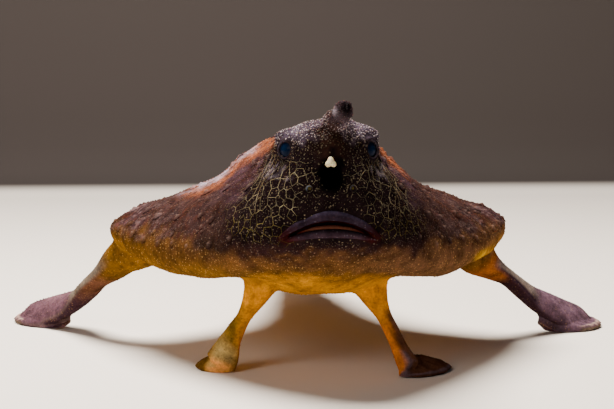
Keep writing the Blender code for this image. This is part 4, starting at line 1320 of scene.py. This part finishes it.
# Thin skin over rays, with more light through it than the body's.
fin_finish = skin_material("thin_fin_web", {**SKIN_BASE, "Subsurface Weight": 0.18})
upright_fin("back_fin", DORSAL, 4, (2.3, 0.9), "dorsal_fin", ("#4A3434", "#6E4C40", "#B79A88"), 120, 48)
upright_fin("under_fin", ANAL, 4, (2.1, 0.8), "anal_fin", ("#7A5226", "#A8783A", "#D2AC78"), 120, 48)
upright_fin("tail_fin", CAUDAL, 9, (2.1, 0.9), "caudal_fin", ("#463032", "#7A4F3C", "#C0A090"))
print("fins made")

# %% [markdown]
# ## Coat helpers
# Bucklers, net and spinules are many small closed shapes set on the skin. Each is a
# template put down by arrays, with a patch of its own in the OFBake map, laid out by
# an unwrap of the body: round its middle line and along it.


# %% Coat helpers
def ring_at(radius, height, columns):
    """Points of a level ring round the upright axis."""
    turn = turns(columns)
    return np.stack([radius * np.cos(turn), radius * np.sin(turn), height + 0 * turn], axis=1)


def repeated(template_faces, count, size):
    """The faces of count copies of a template with size points, one after the other."""
    faces = []
    for corners in (3, 4):
        kind = np.array([face for face in template_faces if len(face) == corners])
        if len(kind):
            faces += (kind + np.arange(count)[:, None, None] * size).reshape(-1, corners).tolist()
    return faces


def stamp(template, template_faces, feet, normals, sizes, draw):
    """Copies of a template shape set on the skin: points, faces, and each copy's number."""
    side = unit(np.cross(normals, unit(draw.normal(size=(len(feet), 3)))))
    rise = np.cross(normals, side)
    local = template[None] * sizes[:, None]
    points = feet[:, None] + local[:, :, :1] * side[:, None] + local[:, :, 1:2] * rise[:, None]
    points = points + local[:, :, 2:] * normals[:, None]
    faces = repeated(template_faces, len(feet), len(template))
    return points.reshape(-1, 3), faces, np.repeat(np.arange(len(feet)), len(template))


def unwrap(points):
    """A map of the skin by its own shape: along the body, and round its middle line."""
    round_body = np.arctan2(points[:, 0], points[:, 2] - 40.0) / (2 * math.pi) + 0.5
    return np.stack([round_body, (points[:, 1] + 90) / 240], axis=1)


def coat_piece(name, stamped, template, feet, colours, material):
    """One object of many small closed items, each with its own patch of the OFBake map."""
    points, faces, owner = stamped
    obj = smooth_object(name, points, faces)
    give_markings(obj, colours)
    flat = template[:, :2] / np.abs(template[:, :2]).max() * 0.0015
    uv = unwrap(feet)[owner] + np.tile(flat, (len(feet), 1))
    corner = read_rows(obj.data.loops, "vertex_index", 1, np.int32)[:, 0]
    bake_map = obj.data.uv_layers.new(name="OFBake")
    bake_map.data.foreach_set("uv", uv[corner].astype(np.float32).ravel())
    print(name, len(feet), "items,", sum(len(face) - 2 for face in faces), "triangles")
    return finish_piece(obj, material)


def on_skin(points):
    """The nearest places on the skin, and its normals there."""
    found = [skin_tree.find_nearest(Vector(spot))[:2] for spot in points.reshape(-1, 3)]
    return (np.array(part).reshape(points.shape) for part in zip(*found))


# %% [markdown]
# ## The net on the face
# On the animal the cheeks carry a net of thin cream ridges, rows of minute prickles
# that border polygons 2 to 3 mm wide, with one cell drawn round each nostril. Seeds
# are thrown on the skin no nearer than a set gap, wider where the cheek turns away
# from the photographer, and moved twice to the middle of their own cells, which
# makes these more even. Round each seed its neighbours are laid on the plane that
# touches the skin there, and the borders of the nearest-seed cells come from the
# triangles between them. The borders are drawn as fine half-sunk rolls, thinner and
# darker toward the net's edge.


# %% Net
def throw_seeds(points, normals, gaps, first):
    """Places on the skin at least their own gap apart, the first ones given."""
    kept = list(first)
    for spot, normal, gap in zip(points, normals, gaps):
        if np.linalg.norm(np.array([seed for seed, _ in kept]) - spot, axis=1).min() > gap:
            kept.append((spot, normal))
    return (np.array(part) for part in zip(*kept))


def even_out(seeds, normals, points, point_normals, fixed, rounds):
    """Move each seed but the fixed ones to the middle of the points nearest to it."""
    for _ in range(rounds):
        own = np.argmin(((points[:, None] - seeds[None]) ** 2).sum(axis=2), axis=1)
        count = np.maximum(np.bincount(own, minlength=len(seeds)), 1)
        middle = np.stack([np.bincount(own, c, len(seeds)) for c in points.T], axis=1) / count[:, None]
        spot = np.argmin(((middle[:, None] - points[None]) ** 2).sum(axis=2), axis=1)
        seeds[fixed:], normals[fixed:] = points[spot][fixed:], point_normals[spot][fixed:]
    return seeds, normals


def surface_borders(seeds, normals):
    """The two ends of each border between neighbouring seeds, shape (n, 2, 3)."""
    corners, borders = {}, {}
    for i, (seed, up) in enumerate(zip(seeds, normals)):
        far = np.linalg.norm(seeds - seed, axis=1)
        near = np.argsort(far)[:18]
        near = near[normals[near] @ up > 0.1]
        side = unit(np.cross(up, (0.2, 0.1, 1.0)))
        rise = np.cross(up, side)
        flat = (seeds[near] - seed) @ np.stack([side, rise], axis=1)
        flat = unit(flat) * far[near][:, None]
        for face in delaunay_2d_cdt([Vector(place) for place in flat], [], [], 0, 1e-6)[2]:
            if 0 in face:
                a, b = (k for k in face if k != 0)
                (px, py), (qx, qy) = flat[a], flat[b]
                pp, qq, twice = px**2 + py**2, qx**2 + qy**2, 2 * (px * qy - py * qx)
                centre = side * (pp * qy - qq * py) / twice + rise * (qq * px - pp * qx) / twice
                key = tuple(sorted((i, int(near[a]), int(near[b]))))
                corners.setdefault(key, []).append(seed + centre)
                for other in (near[a], near[b]):
                    borders.setdefault(tuple(sorted((i, int(other)))), set()).add(key)
    ends = []
    for keys in borders.values():
        best = sorted(keys, key=lambda key: (-len(corners[key]), key))[:2]
        if len(best) == 2:
            ends.append([np.mean(corners[key], axis=0) for key in best])
    return np.array(ends)


# %% [markdown]
# One seed lies at each nostril with seven round it, and the others are thrown from
# the skin's own points on the face.

# %% Seeds and borders
draw = np.random.default_rng(41)
on_face = (face_reach(skin_points) < 42) & (skin_points[:, 2] > 36) & (skin_points[:, 2] < 66)
on_face = draw.permutation(np.flatnonzero(on_face))[:14000]
first = []
for side in (1, -1):
    looks = unit(mirrored(NOSTRIL_LOOKS, side))
    nostril = np.array((side * NOSTRIL_X, -78.2, NOSTRIL_Z))
    across, _ = level_axes(looks)
    around = [math.cos(turn) * across + np.array((0, 0, math.sin(turn))) for turn in turns(7)]
    for spot in [nostril] + [nostril + 2.5 * spoke for spoke in around]:
        first.append((np.array(skin_tree.find_nearest(Vector(spot))[0]), looks))
facing = (unit(SEEN_FROM - skin_points[on_face]) * skin_normals[on_face]).sum(axis=1)
gaps = 1.75 + 1.9 * (1 - np.clip(facing, 0, 1)) ** 1.5
seeds, seed_normals = throw_seeds(skin_points[on_face], skin_normals[on_face], gaps, first)
few = on_face[:5000]
seeds, seed_normals = even_out(seeds, seed_normals, skin_points[few], skin_normals[few], len(first), 2)
borders = surface_borders(seeds, seed_normals)
print("net:", len(seeds), "cells and", len(borders), "borders")

# %% [markdown]
# Each border becomes a thin roll, half sunk in the skin, with knots of uneven
# thickness and tone. A border is left out where the mask shows no net there.

# %% Ridges
ROLL_RINGS, ROLL_COLUMNS = 7, 6
share = np.linspace(0, 1, ROLL_RINGS)[None, :, None]
place, normal = on_skin(borders[:, :1] * (1 - share) + borders[:, 1:] * share)
seen = markings(place.reshape(-1, 3), normal.reshape(-1, 3))
net_here = seen[1].reshape(place.shape[:2])
length = np.linalg.norm(np.diff(place, axis=1), axis=2).sum(axis=1)
keep = (net_here.mean(axis=1) > 0.10) & (length < 5.0) & (draw.uniform(size=len(place)) > 0.05)
skin_here = seen[0].reshape(place.shape)[keep].reshape(-1, 3)
place, normal, net_here = place[keep], normal[keep], net_here[keep]
ahead = unit(np.gradient(place, axis=1))
across = unit(np.cross(ahead, normal)).reshape(-1, 3)
count = len(place)
knots = draw.uniform(0.75, 1.25, (count, ROLL_RINGS)) * draw.uniform(0.75, 1.2, (count, 1))
thick = (0.036 + 0.024 * np.clip(net_here, 0, 1)) * knots
wide = thick.reshape(-1, 1)
sunk = (place + 0.03 * normal).reshape(-1, 3)
rolls = tube_grid(sunk, across, normal.reshape(-1, 3), wide, 0.9 * wide, ROLL_COLUMNS)
ends = np.stack([place[:, 0] - ahead[:, 0] * thick[:, :1], place[:, -1] + ahead[:, -1] * thick[:, -1:]], 1)
roll_points = np.concatenate([rolls.reshape(count, -1, 3), ends], axis=1)
_, roll_faces = tube_mesh(np.zeros((ROLL_RINGS, ROLL_COLUMNS, 3)))
size = roll_points.shape[1]
roll_all = repeated(turned_out(roll_points[0], roll_faces), count, size)
tone = draw.uniform(0.3, 0.9, (count, 1)) * draw.uniform(0.6, 1.05, (count, ROLL_RINGS))
cream = layers(plain("#948A6E", wide), ("#6E6230", ramp(50, 43, place[..., 2].ravel())))
cream = skin_here + (cream - skin_here) * np.clip(net_here * tone, 0, 1).reshape(-1, 1)
cream = cream.reshape(place.shape)
roll_colour = np.concatenate([np.repeat(cream, ROLL_COLUMNS, axis=1), cream[:, [0, -1]]], axis=1)
along, round_it = np.linspace(-1, 1, ROLL_RINGS), np.linspace(-1, 1, ROLL_COLUMNS)
flat_roll = np.stack([np.repeat(along, ROLL_COLUMNS), np.tile(round_it, ROLL_RINGS)], axis=1)
flat_roll = np.vstack([flat_roll, [[-1, 0], [1, 0]]])
roll_stamp = (roll_points.reshape(-1, 3), roll_all, np.repeat(np.arange(count), size))
# Dense ridges of prickles: nearly opaque, so the net stays crisp on the dark face.
net_finish = skin_material("cream_net_ridge", {**SKIN_BASE, "Subsurface Weight": 0.05})
coat_piece("face_net", roll_stamp, flat_roll, place[:, 3], roll_colour.reshape(-1, 3), net_finish)

# %% [markdown]
# ## Bucklers
# Bony bucklers stud the back in rows: star-shaped plates with ribs that run up to a
# blunt spine. They stand in the rows that the solids have, with smaller ones
# scattered between. One ribbed cone is made as a template and set on the skin at
# each place by arrays, with its root sunk in.


# %% Bucklers
# Radius, height and depth of the ribs' cuts, ring by ring from the sunk rim to the spine.
BUCKLER_RINGS = (
    (1.0, -0.35, 0.10),
    (0.98, 0.02, 0.10),
    (0.74, 0.14, 0.07),
    (0.46, 0.34, 0.05),
    (0.22, 0.72, 0.0),
    (0.09, 0.98, 0.0),
)


def buckler_template(ribs=9, columns=36):
    """A ribbed cone: rings from the sunk rim up to the blunt spine."""
    rib = np.cos(ribs * turns(columns))
    rings = [
        ring_at(r * (1 + cut * rib), h + 0.07 * rib * (0.2 < r < 0.9), columns) for r, h, cut in BUCKLER_RINGS
    ]
    return tube_mesh(np.array(rings))


# Ring place, first and last y, spacing along the row, radius and height.
BUCKLER_ROWS = (
    (6.3, -62.0, 9.0, 7.6, 1.5, 0.9),
    (5.2, -52.0, 12.0, 10.5, 1.7, 1.0),
    (4.1, -52.0, 14.0, 12.0, 1.9, 1.1),
    (2.7, -54.0, 30.0, 12.0, 2.1, 1.2),
    (0.9, -52.0, 34.0, 13.0, 2.1, 1.3),
    (1.2, 40.0, 110.0, 9.0, 2.1, 1.6),
    (3.6, 42.0, 110.0, 9.0, 2.0, 1.5),
    (6.2, 40.0, 110.0, 9.0, 1.9, 1.4),
)
draw = np.random.default_rng(20)
places = []
for place, first, last, spacing, radius, height in BUCKLER_ROWS:
    for y in np.arange(first, last, spacing):
        for side in (1, -1):
            shift, turn, size = draw.uniform(-1, 1, 3)
            scale = 1 + 0.18 * size
            at = (y + 0.22 * spacing * shift, (place + 0.18 * turn) * side)
            places.append((*at, radius * scale, height * scale))
for y, t in zip(draw.uniform(-54, 112, 420), draw.uniform(-6.2, 6.2, 420)):
    places.append((y, t, *(draw.uniform(0.5, 1.0) * np.array((1.15, 0.75)))))
places = np.array(places)
feet, normal = on_skin(body_points(station_at(places[:, 0]), places[:, 1] % (2 * HALF_RING)))
lean = unit(normal + (0.0, 0.12, 0.10))
template, template_faces = buckler_template()
template_faces = turned_out(template, template_faces)
sizes = places[:, [2, 2, 3]] * (1.0, 1.0, 0.75)
stamped = stamp(template, template_faces, feet, lean, sizes, draw)
foot_colour = markings(feet, lean)[0][stamped[2]]
peak = np.tile(template[:, 2], len(feet))
buckler_colour = layers(foot_colour * 1.05, ("#7E6A64", ramp(0.05, 0.9, peak) * 0.25))
# Bone under thin skin: matt and nearly opaque, so each plate keeps its relief.
buckler_finish = skin_material("bony_buckler", {**SKIN_BASE, "Subsurface Weight": 0.05})
coat_piece("bucklers", stamped, template, feet, buckler_colour, buckler_finish)

# %% [markdown]
# ## Spinules
# Between the bucklers the whole skin is shagreen: tiny prickles about half a
# millimetre high with pale tips, near white on the brows, where painted glints are
# added to them, densest on the brows and sparse on the belly. One candidate is kept in
# each small cell of space, so that they stand evenly.


# %% Spinules
def scatter(obj_points, triangles, density, cell, draw, count):
    """Even random places on the skin: index of the triangle and weights of its corners."""
    a, b, c = (obj_points[triangles[:, k]] for k in range(3))
    area = np.linalg.norm(np.cross(b - a, c - a), axis=1) * density[triangles].mean(axis=1)
    pick = draw.choice(len(triangles), count, p=area / area.sum())
    w = draw.dirichlet((1.0, 1.0, 1.0), count)
    spots = a[pick] * w[:, :1] + b[pick] * w[:, 1:2] + c[pick] * w[:, 2:]
    keys = np.floor(spots / cell).astype(int)
    _, first = np.unique(keys, axis=0, return_index=True)
    return spots[first], triangles[pick[first]], w[first]


skin.data.calc_loop_triangles()
triangles = read_rows(skin.data.loop_triangles, "vertices", 3, np.int32)
x, y, z = skin_points.T
hollow = np.hypot(x / 2.9, (z - 58.4) / 5.5) < 1.15
mouth = (np.abs(z - mouth_height(x)) < 4.2) & (np.abs(x) < 13) & (y < -66)
bare = (hollow & (y < -70)) | mouth | (eye_gap(skin_points) < 4.3) | (z < 2.6)
crown = ramp(60, 66, z) * ramp(-30, -56, y)
base_density = np.where(bare, 0.0, 1.0)
cone_rings = [ring_at(r, h, 6) for r, h in ((1.0, -0.5), (0.95, 0.05), (0.42, 0.55))]
cone_points, cone_faces = tube_mesh(np.array(cone_rings))
cone_points[-1] = (0.05, 0.0, 1.0)
cone_faces = turned_out(cone_points, cone_faces)
on_disc = ramp(-56, -50, y) * ramp(36, 28, y)
# Name, density, least gap, candidates, and the radius and height of a prickle.
zones = (
    ("spinules_head", base_density * ramp(-50, -56, y) * (0.5 + crown), 0.78, 40000, (0.15, 0.17)),
    ("spinules_disc", base_density * on_disc * ramp(33, 37, z), 1.12, 40000, (0.21, 0.20)),
    ("spinules_belly", base_density * on_disc * ramp(37, 33, z), 1.6, 14000, (0.20, 0.15)),
    ("spinules_tail", base_density * ramp(28, 36, y), 1.2, 20000, (0.24, 0.24)),
)
for name, density, cell, count, size in zones:
    spots, corners, w = scatter(skin_points, triangles, density, cell, draw, count)
    mixed = [
        sum(rows[corners[:, k]] * w[:, k : k + 1] for k in range(3))
        for rows in (skin_normals, skin_paint, skin_pale, crown[:, None], skin_speck[:, None])
    ]
    normal, root, pale, crest, speckle = mixed
    normal = unit(normal)
    normal = unit(normal + draw.normal(scale=0.12, size=normal.shape) + (0.0, 0.15, 0.0))
    grow = draw.uniform(0.55, 1.35, len(spots)) * (1 + 0.7 * crest[:, 0])
    sizes = np.stack([grow * size[0], grow * size[0], grow * size[1]], 1)
    stamped = stamp(cone_points, cone_faces, spots, normal, sizes, draw)
    owner = stamped[2]
    # Pale prickle tips; on the brows their near-white colour also carries painted glints.
    pale_tip_and_glint = speckle[:, 0] * draw.uniform(0.1, 1.0, len(spots)) ** 1.3
    weight = (ramp(0.0, 0.9, np.tile(cone_points[:, 2], len(spots))) * pale_tip_and_glint[owner])[:, None]
    colour = root[owner] + (pale[owner] - root[owner]) * weight
    coat_piece(name, stamped, cone_points, spots, colour, buckler_finish)

# %% [markdown]
# ## Studio
# A paper sweep, pale on the floor and dark behind the model, a broad soft light above
# and a little to the fish's right, and a weak fill from the front on that side. The
# camera stands where the photographer's did: low, half a metre before the fish and a
# little to its right, looking down six degrees. The sweep is see-through from behind,
# so that the model can be looked at from there.


# %% Stage, light and camera
def world_point(point):
    """A place in fish millimetres as a vector in metres."""
    return Vector(to_world(np.array(point)).tolist())


PHOTO_WIDTH, FOCAL_PIXELS, SENSOR = 614.0, 1750.0, 36.0
PITCH_DOWN, YAW = 6.0, 3.8
camera_data = bpy.data.cameras.new("camera")
camera_data.sensor_width = SENSOR
camera_data.lens = FOCAL_PIXELS / PHOTO_WIDTH * SENSOR
camera = new_object("camera", camera_data)
camera.location = world_point(SEEN_FROM)
camera.rotation_euler = (math.radians(90 - PITCH_DOWN), 0, math.radians(-YAW))
bpy.context.scene.camera = camera

# The sweep's line from the floor up to the wall: y and height.
sweep = [(-900, 0), (300, 0), (430, 0), (446, 0.4), (458, 1.6), (468, 4), (476, 8), (482, 14)]
sweep += [(486, 24), (488, 40), (489, 80), (490, 900)]
floor_points = np.array([(x, y, z) for y, z in sweep for x in (-1800.0, 1800.0)])
index = np.arange(len(sweep) * 2).reshape(-1, 2)
floor = smooth_object("studio_floor", floor_points, grid_quads(index).tolist())
if floor.data.polygons[0].normal.z < 0:
    floor.data.flip_normals()
# Matt coated paper: it takes soft shadows and shows hardly any reflection.
paper, paper_tree, paper_shader = new_material("matt_studio_paper", {"Roughness": 0.9})
paper_place = node(paper_tree, "ShaderNodeTexCoord").outputs["Object"]
paper_height = node(paper_tree, "ShaderNodeSeparateXYZ", {0: paper_place}).outputs["Z"]
paper_ramp = node(
    paper_tree,
    "ShaderNodeMapRange",
    {"Value": paper_height, "From Min": 0.0003, "From Max": 0.005, "To Min": 0.0, "To Max": 1.0},
    interpolation_type="SMOOTHSTEP",
)
paper_mix = node(
    paper_tree,
    "ShaderNodeMix",
    {"Factor": paper_ramp.outputs[0], 6: (*srgb("#F6F0EA"), 1), 7: (*srgb("#332D2C"), 1)},
    data_type="RGBA",
)
paper_tree.links.new(paper_mix.outputs[2], paper_shader.inputs["Base Color"])
behind = node(paper_tree, "ShaderNodeNewGeometry").outputs["Backfacing"]
clear = node(paper_tree, "ShaderNodeBsdfTransparent").outputs["BSDF"]
one_sided = node(paper_tree, "ShaderNodeMixShader", {0: behind, 1: paper_shader.outputs["BSDF"], 2: clear})
paper_output = next(n for n in paper_tree.nodes if n.bl_idname == "ShaderNodeOutputMaterial")
paper_tree.links.new(one_sided.outputs["Shader"], paper_output.inputs["Surface"])
floor.data.materials.append(paper)


def area_light(name, at, aim, width, watts, colour):
    """A round soft light of a width in mm, turned to its aim."""
    data = bpy.data.lights.new(name, "AREA")
    data.shape, data.size, data.energy = "DISK", width * 0.001, watts
    data.color = srgb(colour)
    lamp = new_object(name, data)
    lamp.location = world_point(at)
    lamp.rotation_euler = (world_point(aim) - lamp.location).to_track_quat("-Z", "Y").to_euler()


area_light("top_softbox", (-115, 35, 560), (0, -10, 30), 350, 12.8, "#FFF4E6")
area_light("front_fill", (-360, -520, 330), (0, -40, 45), 260, 1.35, "#FFF2E6")
world = bpy.data.worlds.new("studio_air")
bpy.context.scene.world = world
world.use_nodes = True
air = world.node_tree.nodes["Background"].inputs
air["Color"].default_value = (*srgb("#C9CCD2"), 1)
air["Strength"].default_value = 0.10
print("stage: one sweep, two lights, camera at", SEEN_FROM)
